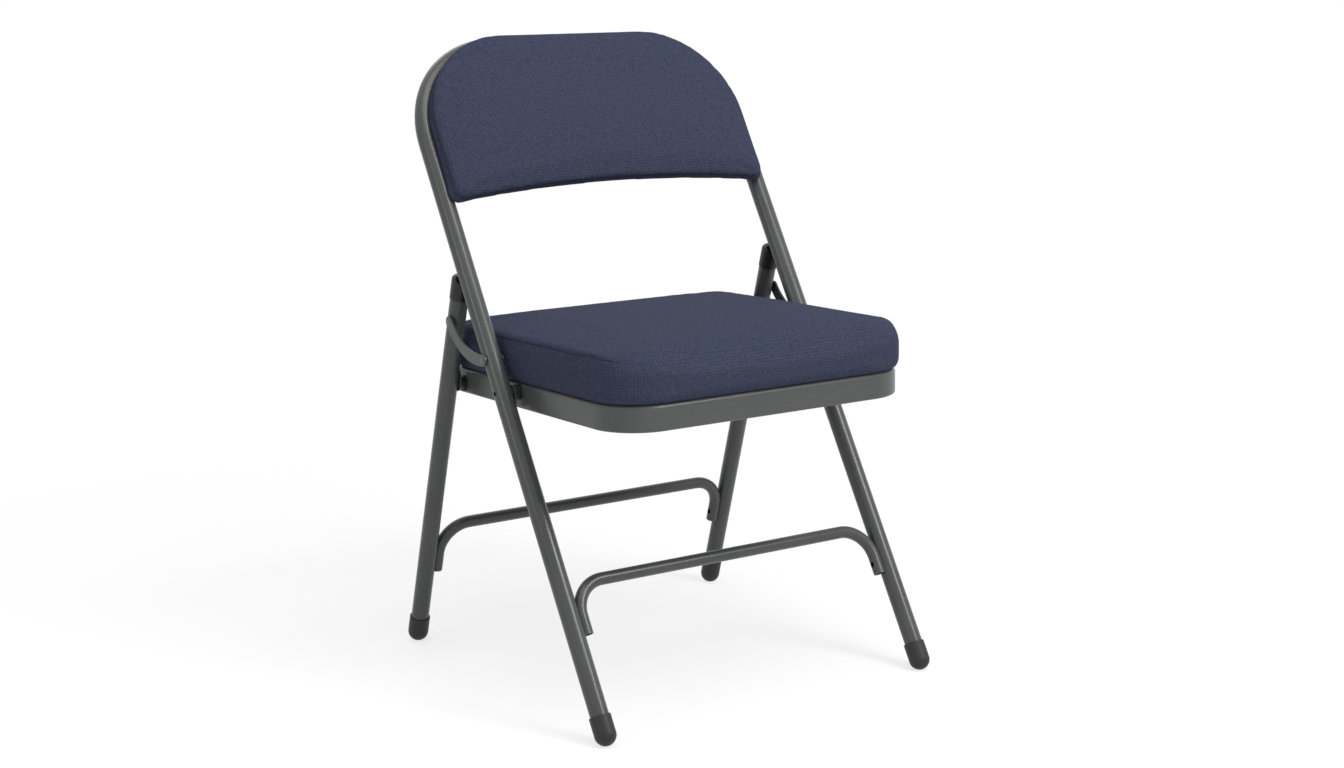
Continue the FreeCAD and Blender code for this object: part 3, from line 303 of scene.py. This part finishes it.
def weaveHeight(group, along, across, pitch):
    # one face of a basket weave: bundles of yarn pass over each other in turn, 0 in the gaps
    u = mathNode(group, "DIVIDE", along, pitch)
    v = mathNode(group, "DIVIDE", across, pitch)
    ridges, yarns = [], []
    yarnShape, crownShape = fabricSet["yarnShape"], fabricSet["crownShape"]
    for value in (u, v):
        centred = mathNode(group, "SUBTRACT", mathNode(group, "FRACT", value), 0.5)
        squared = mathNode(group, "MULTIPLY", centred, centred)
        ridges.append(mathNode(group, "SUBTRACT", 1.0, mathNode(group, "MULTIPLY", squared, 4.0)))
        pair = mathNode(group, "PINGPONG", mathNode(group, "MULTIPLY", value, 2.0), 0.5)
        yarns.append(mathNode(group, "MULTIPLY_ADD", pair, *yarnShape))
    cells = mathNode(group, "ADD", mathNode(group, "FLOOR", u), mathNode(group, "FLOOR", v))
    warpOnTop = mathNode(group, "PINGPONG", cells, 1.0)
    bundles = []
    for over, beside in ((0, 1), (1, 0)):
        crown = mathNode(group, "MULTIPLY_ADD", ridges[beside], *crownShape)
        bundle = mathNode(group, "MULTIPLY", ridges[over], crown)
        bundles.append(mathNode(group, "MULTIPLY", bundle, yarns[over]))
    lift = mathNode(group, "SUBTRACT", bundles[0], bundles[1])
    height = mathNode(group, "ADD", bundles[1], mathNode(group, "MULTIPLY", lift, warpOnTop))
    return height, warpOnTop


def buildWeaveGroup():
    # a basket weave laid on whichever of three planes the surface faces
    group, given, made = newGroup("basketWeave", [
        ("Vector", "NodeSocketVector", None), ("Facing", "NodeSocketVector", None),
        ("Pitch", "NodeSocketFloat", fabricSet["pitch"])], [
        ("Height", "NodeSocketFloat", None), ("Warp", "NodeSocketFloat", None),
        ("Yarn", "NodeSocketFloat", None), ("Heather", "NodeSocketFloat", None)])
    facing = group.nodes.new("ShaderNodeSeparateXYZ")
    group.links.new(given.outputs["Facing"], facing.inputs[0])
    wander = group.nodes.new("ShaderNodeTexNoise")
    wander.inputs["Scale"].default_value = fabricSet["wanderScale"]
    group.links.new(given.outputs["Vector"], wander.inputs["Vector"])
    drift = group.nodes.new("ShaderNodeVectorMath")
    drift.operation = "MULTIPLY_ADD"
    group.links.new(wander.outputs["Color"], drift.inputs[0])
    drift.inputs[1].default_value = (fabricSet["wander"],) * 3
    group.links.new(given.outputs["Vector"], drift.inputs[2])
    place = group.nodes.new("ShaderNodeSeparateXYZ")
    group.links.new(drift.outputs[0], place.inputs[0])
    x, y, z = place.outputs
    strength = [mathNode(group, "POWER", mathNode(group, "ABSOLUTE", axis), fabricSet["blendPower"])
                for axis in facing.outputs]
    total = mathNode(group, "ADD", mathNode(group, "ADD", strength[0], strength[1]), strength[2])
    height, warp = None, None
    for weight, (along, across) in zip(strength, ((y, z), (x, z), (x, y))):
        share = mathNode(group, "DIVIDE", weight, total)
        faceHeight, faceWarp = weaveHeight(group, along, across, given.outputs["Pitch"])
        faceHeight = mathNode(group, "MULTIPLY", faceHeight, share)
        faceWarp = mathNode(group, "MULTIPLY", faceWarp, share)
        height = faceHeight if height is None else mathNode(group, "ADD", height, faceHeight)
        warp = faceWarp if warp is None else mathNode(group, "ADD", warp, faceWarp)
    group.links.new(height, made.inputs["Height"])
    group.links.new(warp, made.inputs["Warp"])
    # yarn by yarn some are paler, and over a wider area the dye is a little uneven
    yarn = noiseNode(group, given.outputs["Vector"], fabricSet["yarnScale"], 1.0)
    heather = noiseNode(group, given.outputs["Vector"], fabricSet["heatherScale"], 2.0,
                        fabricSet["heatherRoughness"])
    group.links.new(yarn, made.inputs["Yarn"])
    group.links.new(heather, made.inputs["Heather"])
    return group


paintGroup = buildPaintGroup()
weaveGroup = buildWeaveGroup()


def newMaterial(name):
    material = bpy.data.materials.new(name)
    material.use_nodes = True
    return material, material.node_tree, material.node_tree.nodes["Principled BSDF"]


def objectPlace(tree, turnX=0.0):
    # object coordinates, turned about X so that a pattern lies along a leaning piece
    place = tree.nodes.new("ShaderNodeTexCoord")
    spin = tree.nodes.new("ShaderNodeMapping")
    spin.inputs["Rotation"].default_value = (turnX, 0, 0)
    tree.links.new(place.outputs["Object"], spin.inputs["Vector"])
    return spin.outputs["Vector"], place.outputs["Normal"]


def addBump(tree, shader, height, strength, distance):
    bump = tree.nodes.new("ShaderNodeBump")
    bump.inputs["Strength"].default_value = strength
    bump.inputs["Distance"].default_value = distance
    tree.links.new(height, bump.inputs["Height"])
    tree.links.new(bump.outputs["Normal"], shader.inputs["Normal"])


def paintMaterial(name, colour, roughness, peelDepth, specular=0.35, metallic=0.0):
    material, tree, shader = newMaterial(name)
    coat = tree.nodes.new("ShaderNodeGroup")
    coat.node_tree = paintGroup
    coat.inputs["Color"].default_value = (*colour, 1)
    coat.inputs["Roughness"].default_value = roughness
    place = objectPlace(tree)[0]
    tree.links.new(place, coat.inputs["Vector"])
    tree.links.new(coat.outputs["Color"], shader.inputs["Base Color"])
    tree.links.new(coat.outputs["Roughness"], shader.inputs["Roughness"])
    shader.inputs["Specular IOR Level"].default_value = specular
    shader.inputs["Metallic"].default_value = metallic
    addBump(tree, shader, coat.outputs["Height"], paintSet["peelStrength"], peelDepth)
    return material


def fabricMaterial(name, lean):
    material, tree, shader = newMaterial(name)
    place, facing = objectPlace(tree, lean)
    turned = tree.nodes.new("ShaderNodeMapping")
    turned.inputs["Rotation"].default_value = (lean, 0, 0)
    tree.links.new(facing, turned.inputs["Vector"])
    weave = tree.nodes.new("ShaderNodeGroup")
    weave.node_tree = weaveGroup
    weave.inputs["Pitch"].default_value = fabricSet["pitch"]
    tree.links.new(place, weave.inputs["Vector"])
    tree.links.new(turned.outputs["Vector"], weave.inputs["Facing"])
    patches = mapNode(tree, weave.outputs["Heather"], *fabricSet["heatherSpan"], *fabricSet["heatherTone"])
    dye = mathNode(tree, "ADD", mathNode(tree, "MULTIPLY", patches, fabricSet["heatherShare"]),
                   mathNode(tree, "MULTIPLY", weave.outputs["Warp"], fabricSet["weaveShare"]))
    threads = mixColours(tree, dye, (*fabricSet["weft"], 1), (*fabricSet["warp"], 1))
    # painted shade: low in the weave the colour goes over to the darker gap colour, for the shade between
    # the bundles
    gapShadeFade = mapNode(tree, weave.outputs["Height"], 0.0, fabricSet["gapShadeReach"], 0.0, 1.0)
    woven = mixColours(tree, gapShadeFade, (*fabricSet["gapShade"], 1), threads)
    varied = tree.nodes.new("ShaderNodeVectorMath")
    varied.operation = "SCALE"
    tree.links.new(woven, varied.inputs[0])
    tone = mapNode(tree, weave.outputs["Yarn"], *fabricSet["yarnSpan"], *fabricSet["yarnTone"])
    tree.links.new(tone, varied.inputs["Scale"])
    tree.links.new(varied.outputs[0], shader.inputs["Base Color"])
    shader.inputs["Roughness"].default_value = fabricSet["roughness"]
    shader.inputs["Specular IOR Level"].default_value = fabricSet["specular"]
    addBump(tree, shader, weave.outputs["Height"], fabricSet["threadStrength"], fabricSet["threadDepth"])
    return material


paints = {                  # colour, roughness, depth of the peel
    "tubePaint": ((0.051, 0.0525, 0.053), 0.28, 0.00008),
    "sheetPaint": ((0.058, 0.063, 0.061), 0.31, 0.00008),
    "rivetSteel": ((0.11, 0.11, 0.112), 0.38, 0.00008),
    "spacerPlastic": ((0.018, 0.018, 0.019), 0.5, 0.0001),
    "capPlastic": ((0.0095, 0.0095, 0.01), 0.42, 0.00014),
    "footRubber": ((0.016, 0.016, 0.017), 0.52, 0.0002),
    "boardWood": ((0.32, 0.22, 0.13), 0.7, 0.0003),
}
metalShare = {"rivetSteel": 0.6}

materials = {name: paintMaterial(name, *values, metallic=metalShare.get(name, 0.0))
             for name, values in paints.items()}

finishes = [                # the first word found in a node's name decides
    ("cap", "capPlastic"), ("foot", "footRubber"), ("spacer", "spacerPlastic"),
    ("rivet", "rivetSteel"), ("screws", "rivetSteel"), ("board", "boardWood"),
    ("strap", "sheetPaint"), ("plate", "sheetPaint"), ("pan", "sheetPaint"),
]


def finishOf(node):
    for word, name in finishes:
        if word in node:
            return materials[name]
    return materials["tubePaint"]


def finishNodes():
    for node, piece in frame["nodes"].items():
        piece.data.materials.clear()
        piece.data.materials.append(finishOf(node))


finishNodes()

print("stage: seat cushion")


def deselectAll():
    bpy.ops.object.select_all(action="DESELECT")


def activate(piece):
    deselectAll()
    piece.select_set(True)
    bpy.context.view_layer.objects.active = piece


def applyModifiers(piece):
    activate(piece)
    for modifier in list(piece.modifiers):
        bpy.ops.object.modifier_apply(modifier=modifier.name)


def remesh(piece, voxel):
    activate(piece)
    piece.data.remesh_voxel_size = voxel
    piece.data.remesh_voxel_adaptivity = 0
    bpy.ops.object.voxel_remesh()


clothSet = {
    "frames": 20,
    "quality": 6,
    "mass": 0.3,
    "tension": 18,          # and compression
    "shear": 6,
    "bending": 0.6,
}


def puffUp(piece, pinned, pressure, most):
    # cloth pressed outwards from inside; pinned gives how firmly each point stays, 0 to 1
    start = [vertex.co.copy() for vertex in piece.data.vertices]
    pins = piece.vertex_groups.new(name="pins")
    for vertex in piece.data.vertices:
        pins.add([vertex.index], pinned(vertex.co), "REPLACE")
    cloth = piece.modifiers.new("puff", "CLOTH")
    settings = cloth.settings
    settings.quality = clothSet["quality"]
    settings.mass = clothSet["mass"]
    settings.tension_stiffness = clothSet["tension"]
    settings.compression_stiffness = clothSet["tension"]
    settings.shear_stiffness = clothSet["shear"]
    settings.bending_stiffness = clothSet["bending"]
    settings.use_pressure = True
    settings.uniform_pressure_force = pressure
    settings.vertex_group_mass = "pins"
    settings.effector_weights.gravity = 0
    cloth.collision_settings.use_collision = False
    cloth.point_cache.frame_start = 1
    cloth.point_cache.frame_end = clothSet["frames"]
    for step in range(1, clothSet["frames"] + 1):
        bpy.context.scene.frame_set(step)
    applyModifiers(piece)
    bpy.context.scene.frame_set(1)
    for vertex, first in zip(piece.data.vertices, start):
        moved = vertex.co - first
        if moved.length > most:
            vertex.co = first + moved.normalized() * most
    piece.vertex_groups.clear()


def smoothStep(low, high, value):
    t = min(max((value - low) / (high - low), 0.0), 1.0)
    return t * t * (3 - 2 * t)


def ownBox(node, ownFrame):
    # lowest and highest corner of a CAD node, along the axes of the frame that it is built in
    back = ownFrame.inverted()
    points = [back @ vertex.co for vertex in frame["nodes"][node].data.vertices]
    return [Vector(pick(point[i] for point in points) for i in range(3)) for pick in (min, max)]


def jointPlace(name):
    return Vector(next(joint["pos_m"] for joint in frame["joints"] if joint["name"] == name))


seatSet = {
    "tilt": 1.9,            # degrees, the seat is lower at the rear
    "frontCorner": 0.062,
    "rearCorner": 0.036,
    "cornerSteps": (14, 10),        # faces round a front and a rear corner
    "leastUpright": 0.02,   # an edge that rises more than this is an upright one
    "sideRoll": 0.024,      # how far in the top starts to roll over the sides and the rear
    "frontRoll": 0.024,     # the same over the front, where it falls as far as it reaches
    "rim": 0.0572,          # where the roll ends and the crown starts, above the pan
    "crown": 0.0084,
    "crownPower": 0.7,      # less than 1 keeps the top flatter in the middle
    "frontShare": 0.15,     # share of the depth over which the front's roll fades
    "rearFall": 0.001,      # the rear corners lie lower
    "fallFrom": (0.55, 0.5),        # shares of the depth and of the half width where that starts
    "bulge": 0.0008,        # the side walls swell at half their height
    "leanIn": (0.0045, 0.030),      # and lean in towards the seam: how far, from how high
    "wallReach": 0.03,      # how far in the walls are shaped
    "tuck": (0.0090, 0.012),        # the walls turn in under themselves: how far, from how high
    "lip": 0.0009,          # the lower edge hangs a little over the shoulder of the pan
    "voxel": 0.004,
    "even": 3,              # rounds of smoothing after the remesh
    "pressure": 2.0,
    "mostPuff": 0.0025,
    "heldBelow": 0.006,     # the cloth stays put under this height, and partly at the seam
    "seamHold": 0.8,
    "seamPath": [           # distance from the front, height: where the side walls meet the top
        (0.0, 0.0460), (0.005, 0.0478), (0.016, 0.0500), (0.035, 0.0522), (0.062, 0.0526),
        (0.119, 0.0513), (0.2, 0.0503), (0.41, 0.0496)],
    "seamStart": (0.0, 0.05),           # from the front, where the seam fades in
    "seamWidth": 0.0018,
    "seamDepth": 0.0007,
    "seamThreadAndShade": 0.00055,
    "seamSpacing": 0.0015,  # between the points of the groove, and of the thread
    "threadSpacing": 0.003,
    "leastSeam": 0.02,      # below this share there is no thread
}

seatTurn = Matrix.Rotation(-math.radians(seatSet["tilt"]), 4, "X")
seatFrame = Matrix.Translation(jointPlace("seat_fold")) @ seatTurn
seatLow, seatHigh = ownBox("seat_cushion", seatFrame)


def seatInset(x, y):
    # how far inside the seat's outline a point is
    toSide = seatHigh.x - abs(x)
    front = y < (seatLow.y + seatHigh.y) / 2
    toEnd = y - seatLow.y if front else seatHigh.y - y
    corner = seatSet["frontCorner"] if front else seatSet["rearCorner"]
    if toSide < corner and toEnd < corner:
        return corner - math.hypot(corner - toSide, corner - toEnd)
    return min(toSide, toEnd)


def seatTop(x, y):
    # height of the top above the cushion's underside: a roll all round, then a crown
    alongY = (y - seatLow.y) / (seatHigh.y - seatLow.y)
    alongX = min(abs(x) / seatHigh.x, 1.0)
    atFront = 1 - smoothStep(0.0, seatSet["frontShare"], alongY)
    roll = seatSet["sideRoll"] + (seatSet["frontRoll"] - seatSet["sideRoll"]) * atFront
    sideDrop = seatSet["rim"] - seamRise(y)
    drop = sideDrop + (seatSet["frontRoll"] - sideDrop) * atFront
    turn = 1 - min(max(seatInset(x, y), 0.0) / roll, 1.0)
    bow = max((1 - alongX ** 2) * (1 - (2 * alongY - 1) ** 2), 0.0)
    fallY, fallX = seatSet["fallFrom"]
    fall = seatSet["rearFall"] * smoothStep(fallY, 1.0, alongY) * smoothStep(fallX, 1.0, alongX)
    crown = seatSet["crown"] * bow ** seatSet["crownPower"]
    return seatSet["rim"] - drop * (1 - math.sqrt(1 - turn * turn)) + crown - fall


def seamShare(y):
    # 1 along the sides and the rear, fading to 0 round the front corners
    first, last = seatSet["seamStart"]
    return smoothStep(seatLow.y + first, seatLow.y + last, y)


def seamRise(y):
    # height of the seam above the cushion's underside
    path = seatSet["seamPath"]
    distance = min(max(y - seatLow.y, path[0][0]), path[-1][0])
    for (near, first), (far, last) in zip(path, path[1:]):
        if distance <= far:
            return first + (last - first) * (distance - near) / (far - near)


def addBox(name, low, high):
    deselectAll()
    bpy.ops.mesh.primitive_cube_add(size=1, location=(low + high) / 2, scale=high - low)
    box = bpy.context.object
    box.name = name
    box.data.name = name
    bpy.ops.object.transform_apply(location=True, rotation=True, scale=True)
    return box


def bevelEdges(piece, test, offset, segments):
    # test is given the two ends of an edge
    activate(piece)
    bpy.ops.object.mode_set(mode="EDIT")
    bpy.ops.mesh.select_mode(type="EDGE")
    bpy.ops.mesh.select_all(action="DESELECT")
    bpy.ops.object.mode_set(mode="OBJECT")
    points = piece.data.vertices
    for edge in piece.data.edges:
        edge.select = test(points[edge.vertices[0]].co, points[edge.vertices[1]].co)
    bpy.ops.object.mode_set(mode="EDIT")
    bpy.ops.mesh.bevel(offset=offset, segments=segments, affect="EDGES")
    bpy.ops.object.mode_set(mode="OBJECT")


def evenOut(piece, rounds):
    # takes out the steps that the remesh leaves
    relax = piece.modifiers.new("relax", "SMOOTH")
    relax.factor = 0.5
    relax.iterations = rounds
    applyModifiers(piece)


def subdivideOnce(piece):
    smooth = piece.modifiers.new("smooth", "SUBSURF")
    smooth.levels = 1
    smooth.render_levels = 1
    applyModifiers(piece)


def shadeSmooth(piece):
    activate(piece)
    bpy.ops.object.shade_smooth()


def buildSeatCushion():
    cushion = addBox("seatCushionCover", seatLow, seatHigh)
    bottom, top = seatLow.z, seatHigh.z
    frontSteps, rearSteps = seatSet["cornerSteps"]
    upright = lambda a, b: abs(a.z - b.z) > seatSet["leastUpright"]
    atRear = lambda a, b: abs(a.x - b.x) < 1e-5 and a.y > seatHigh.y - 0.01
    bevelEdges(cushion, lambda a, b: upright(a, b) and a.y < 0, seatSet["frontCorner"], frontSteps)
    bevelEdges(cushion, lambda a, b: upright(a, b) and atRear(a, b), seatSet["rearCorner"], rearSteps)
    remesh(cushion, seatSet["voxel"])
    for vertex in cushion.data.vertices:
        share = (vertex.co.z - bottom) / (top - bottom)
        vertex.co.z = bottom + share * seatTop(vertex.co.x, vertex.co.y)
    remesh(cushion, seatSet["voxel"])
    evenOut(cushion, seatSet["even"])
    puffUp(cushion, seatPin, seatSet["pressure"], seatSet["mostPuff"])
    subdivideOnce(cushion)
    shapeWalls(cushion)
    sewSeat(cushion, pressOnto(seamLine(seatSet["seamSpacing"]), cushion))
    return cushion


def seatPin(point):
    rise = point.z - seatLow.z
    if rise < seatSet["heldBelow"]:
        return 1.0
    away = math.hypot(rise - seamRise(point.y), seatInset(point.x, point.y))
    nearSeam = away / (2 * seatSet["voxel"])
    return seatSet["seamHold"] * seamShare(point.y) * math.exp(-nearSeam ** 2)


def outwards(x, y):
    # level direction out of the seat at a point near its edge
    front = y < (seatLow.y + seatHigh.y) / 2
    corner = seatSet["frontCorner"] if front else seatSet["rearCorner"]
    centreX = min(abs(x), seatHigh.x - corner)
    centreY = max(y, seatLow.y + corner) if front else min(y, seatHigh.y - corner)
    way = Vector((math.copysign(abs(x) - centreX, x), y - centreY, 0))
    if way.length < 1e-6:
        return Vector((0, 0, 0))
    return way.normalized()


def shapeWalls(cushion):
    # the walls swell at half height and turn in at the bottom, where the cloth goes under
    width, height = seatSet["tuck"]
    lean, leanFrom = seatSet["leanIn"]
    for vertex in cushion.data.vertices:
        x, y, z = vertex.co
        rise = z - seatLow.z
        near = 1 - smoothStep(0.0, seatSet["wallReach"], seatInset(x, y))
        swell = seatSet["bulge"] * math.sin(math.pi * min(max(rise / seatSet["rim"], 0.0), 1.0))
        swell -= lean * smoothStep(leanFrom, seatSet["rim"], rise)
        low = 1 - min(max(rise / height, 0.0), 1.0)
        swell -= width * (1 - math.sqrt(1 - low * low))
        vertex.co += outwards(x, y) * swell * near
        vertex.co.z -= seatSet["lip"] * near * low


def sewSeat(cushion, line):
    # the seam draws the cloth in along the top of the side walls
    tree = kdtree.KDTree(len(line))
    for i, point in enumerate(line):
        tree.insert(point, i)
    tree.balance()
    moves = []
    for vertex in cushion.data.vertices:
        away = tree.find(vertex.co)[2]
        if away < 3 * seatSet["seamWidth"]:
            pull = seatSet["seamDepth"] * seamShare(vertex.co.y)
            pull *= math.exp(-(away / seatSet["seamWidth"]) ** 2)
            moves.append((vertex.index, vertex.normal * pull))
    for index, move in moves:
        cushion.data.vertices[index].co -= move


def seatOutline(spacing):
    # points round the seat's outline, from the middle of the front, anticlockwise from above
    half, low, high = seatHigh.x, seatLow.y, seatHigh.y
    front, rear = seatSet["frontCorner"], seatSet["rearCorner"]
    corners = [(half - front, low + front, front, -90), (half - rear, high - rear, rear, 0),
               (rear - half, high - rear, rear, 90), (front - half, low + front, front, 180)]
    points = [Vector((0, low, 0))]
    for x, y, radius, start in corners:
        steps = max(4, int(radius * math.pi / 2 / spacing))
        for i in range(steps + 1):
            angle = math.radians(start + 90 * i / steps)
            target = Vector((x + radius * math.cos(angle), y + radius * math.sin(angle), 0))
            between = int((target - points[-1]).length / spacing)
            for j in range(1, between + 1):
                points.append(points[-1].lerp(target, 1 / (between + 2 - j)))
            points.append(target)
    return points


def seamLine(spacing):
    # the seat's seam, from one front corner round the rear to the other
    line = []
    for point in seatOutline(spacing):
        if seamShare(point.y) > seatSet["leastSeam"]:
            line.append(Vector((point.x, point.y, seatLow.z + seamRise(point.y))))
    firstRight = next(i for i, point in enumerate(line) if point.x > 0)
    return line[firstRight:] + line[:firstRight]


def threadAlong(name, points, shares, radius, material):
    # a sewn thread: a thin tube along points, thinner where its share is less, made a mesh; its near-black
    # material also paints the shade in the seam's crease
    curve = bpy.data.curves.new(name, "CURVE")
    curve.dimensions = "3D"
    curve.bevel_depth = radius
    curve.bevel_resolution = 1
    spline = curve.splines.new("POLY")
    spline.points.add(len(points) - 1)
    for target, point, share in zip(spline.points, points, shares):
        target.co = (*point, 1)
        target.radius = share
    thread = bpy.data.objects.new(name, curve)
    bpy.context.scene.collection.objects.link(thread)
    activate(thread)
    bpy.ops.object.convert(target="MESH")
    thread = bpy.context.object
    thread.data.materials.append(material)
    shadeSmooth(thread)
    return thread


def pressOnto(points, cushion):
    # moves points to the nearest place on a cushion
    tree = bvhtree.BVHTree.FromObject(cushion, bpy.context.evaluated_depsgraph_get())
    return [tree.find_nearest(point)[0] for point in points]


seatFabric = fabricMaterial("seatFabric", math.radians(seatSet["tilt"]))
# painted shade: the seam thread is coloured near black, so that besides the thread it paints the shade in
# the seam's crease
seamThreadAndShadeMaterial = paintMaterial("seamThreadAndShade", (0.016, 0.018, 0.036), 0.8, 0.0001, specular=0.15)

seatCushion = buildSeatCushion()
seatCushion.data.transform(seatFrame)
seatCushion.data.materials.append(seatFabric)
shadeSmooth(seatCushion)
bpy.context.view_layer.update()

seatSeamLine = seamLine(seatSet["threadSpacing"])
seatSeamPoints = pressOnto([seatFrame @ point for point in seatSeamLine], seatCushion)
seatSeam = threadAlong("seatSeam", seatSeamPoints, [seamShare(point.y) for point in seatSeamLine],
                       seatSet["seamThreadAndShade"], seamThreadAndShadeMaterial)
for piece in (seatCushion, seatSeam):
    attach(piece, "seat")
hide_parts("seat_cushion")

print("stage: back cushion")

backSet = {
    "lean": 31.9,           # degrees, the front tubes from the vertical
    "voxel": 0.0036,
    "crown": 0.007,
    "crownReach": 0.09,     # how far in from the edge the face has risen
    "flareBehind": (0.0045, 0.0003),    # the rear is wider, at the lower edge and at the top
    "flareFace": (-0.0025, 0.0012),     # and its face narrower at the lower edge
    "faceRise": (0.0015, 0.0060),       # the face lies higher at the lower edge and at the top
    "cornerPull": 0.0025,   # the rear of the lower corners is squarer than the face
    "cornerReach": 0.03,
    "bowedBottom": 0.0145,  # the lower edge is higher in the middle
    "topCorner": 0.123,
    "lowCorner": 0.014,
    "lowCornerSteps": 6,
    "outlineSpacing": 0.004,
    "even": 3,              # rounds of smoothing after the remesh
    "pressure": 2.0,
    "mostPuff": 0.002,
    "heldBehind": 0.003,    # the cloth stays put this near to the rear, and partly at the seam
    "seamHold": 0.8,
    "seamHoldReach": 0.006,
    "seamBehindFace": 0.0095,
    "seamWidth": 0.002,
    "seamDepth": 0.0009,
    "seamThreadAndShade": 0.00045,
    "seamInset": 0.008,     # further in than this the seam draws nothing in
}

backFrame = Matrix.Rotation(-math.radians(backSet["lean"]), 4, "X")
backLow, backHigh = ownBox("back_cushion", backFrame)


def copyCadMesh(node, name, ownFrame):
    mesh = frame["nodes"][node].data.copy()
    mesh.name = name
    mesh.materials.clear()
    mesh.transform(ownFrame.inverted())
    piece = bpy.data.objects.new(name, mesh)
    bpy.context.scene.collection.objects.link(piece)
    activate(piece)
    bpy.ops.object.mode_set(mode="EDIT")
    bpy.ops.mesh.select_all(action="SELECT")
    bpy.ops.mesh.remove_doubles(threshold=1e-6)
    bpy.ops.object.mode_set(mode="OBJECT")
    return piece


def padOutline(spacing):
    # points round the pad, as (x, up), anticlockwise from the middle of the lower edge
    half, top, low = backHigh.x, backHigh.z, backLow.z
    corner, lowCorner, bow = backSet["topCorner"], backSet["lowCorner"], backSet["bowedBottom"]
    radius = (half ** 2 + bow ** 2) / (2 * bow)
    lowerEdge = lambda x: low + bow - radius + math.sqrt(radius ** 2 - x ** 2)
    points = []
    count = int((half - lowCorner) / spacing)
    for i in range(count + 1):
        x = (half - lowCorner) * i / count
        points.append((x, lowerEdge(x)))
    centre = (half - lowCorner, lowerEdge(half - lowCorner) + lowCorner)
    steps = backSet["lowCornerSteps"]
    for i in range(1, steps + 1):
        angle = math.radians(-90 + 90 * i / steps)
        points.append((centre[0] + lowCorner * math.cos(angle), centre[1] + lowCorner * math.sin(angle)))
    straight = int((top - corner - points[-1][1]) / spacing)
    start = points[-1][1]
    for i in range(1, straight + 1):
        points.append((half, start + (top - corner - start) * i / straight))
    bends = int(corner * math.pi / 2 / spacing)
    for i in range(1, bends + 1):
        angle = math.pi / 2 * i / bends
        points.append((half - corner + corner * math.cos(angle), top - corner + corner * math.sin(angle)))
    count = int((half - corner) / spacing)
    for i in range(1, count + 1):
        points.append(((half - corner) * (1 - i / count), top))
    mirrored = [(-x, up) for x, up in reversed(points[1:-1])]
    return points + mirrored


def outlineTree(points):
    # finds how far inside the pad's outline a point is
    tree = kdtree.KDTree(len(points))
    for i, (x, up) in enumerate(points):
        tree.insert((x, 0, up), i)
    tree.balance()
    return tree


def flarePad(pad):
    # the walls of the pad slope, so its rear is wider and its face a little smaller
    low, top, half = backLow.z, backHigh.z, backHigh.x
    reach = backSet["cornerReach"]
    between = lambda pair, share: pair[0] + (pair[1] - pair[0]) * share
    for vertex in pad.data.vertices:
        x, y, z = vertex.co
        share = min((backHigh.y - y) / (backHigh.y - backLow.y), 1.0)
        up = (z - low) / (top - low)
        behind, face = between(backSet["flareBehind"], up), between(backSet["flareFace"], up)
        atSide = smoothStep(half - reach, half, abs(x))
        corner = atSide * (1 - smoothStep(low, low + reach, z)) * (1 - share)
        pull = backSet["cornerPull"] * corner
        vertex.co.x = x * (1 + between((behind, face), share) / half) + math.copysign(pull, x)
        vertex.co.z = z + between(backSet["faceRise"], up) * share - pull


def buildBackCushion(rim):
    pad = copyCadMesh("back_cushion", "backCushionCover", backFrame)
    remesh(pad, backSet["voxel"])
    evenOut(pad, backSet["even"])
    back, front = backHigh.y, backLow.y
    inset = lambda point: rim.find((point.x, 0, point.z))[2]
    for vertex in pad.data.vertices:
        reach = min(inset(vertex.co) / backSet["crownReach"], 1.0)
        share = (back - vertex.co.y) / (back - front)
        vertex.co.y -= share * backSet["crown"] * (1 - (1 - reach) ** 2)
    flarePad(pad)
    seamAt = front + backSet["seamBehindFace"]

    def pinned(point):
        if point.y > back - backSet["heldBehind"]:
            return 1.0
        away = math.hypot(point.y - seamAt, inset(point))
        return backSet["seamHold"] * math.exp(-(away / backSet["seamHoldReach"]) ** 2)

    puffUp(pad, pinned, backSet["pressure"], backSet["mostPuff"])
    subdivideOnce(pad)
    moves = []
    for vertex in pad.data.vertices:
        away = abs(vertex.co.y - seamAt)
        if away < 3 * backSet["seamWidth"] and inset(vertex.co) < backSet["seamInset"]:
            pull = math.exp(-(away / backSet["seamWidth"]) ** 2)
            moves.append((vertex.index, vertex.normal * backSet["seamDepth"] * pull))
    for index, move in moves:
        pad.data.vertices[index].co -= move
    return pad


padPoints = padOutline(backSet["outlineSpacing"])
backFabric = fabricMaterial("backFabric", math.radians(backSet["lean"]))
backCushion = buildBackCushion(outlineTree(padPoints))
backCushion.data.transform(backFrame)
backCushion.data.materials.append(backFabric)
shadeSmooth(backCushion)
bpy.context.view_layer.update()
seamDistance = backLow.y + backSet["seamBehindFace"]
backSeamLine = [backFrame @ Vector((x, seamDistance, up)) for x, up in padPoints + padPoints[:1]]
backSeam = threadAlong("backSeam", pressOnto(backSeamLine, backCushion), [1.0] * len(backSeamLine),
                       backSet["seamThreadAndShade"], seamThreadAndShadeMaterial)
for piece in (backCushion, backSeam):
    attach(piece, "frame")
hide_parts("back_cushion")
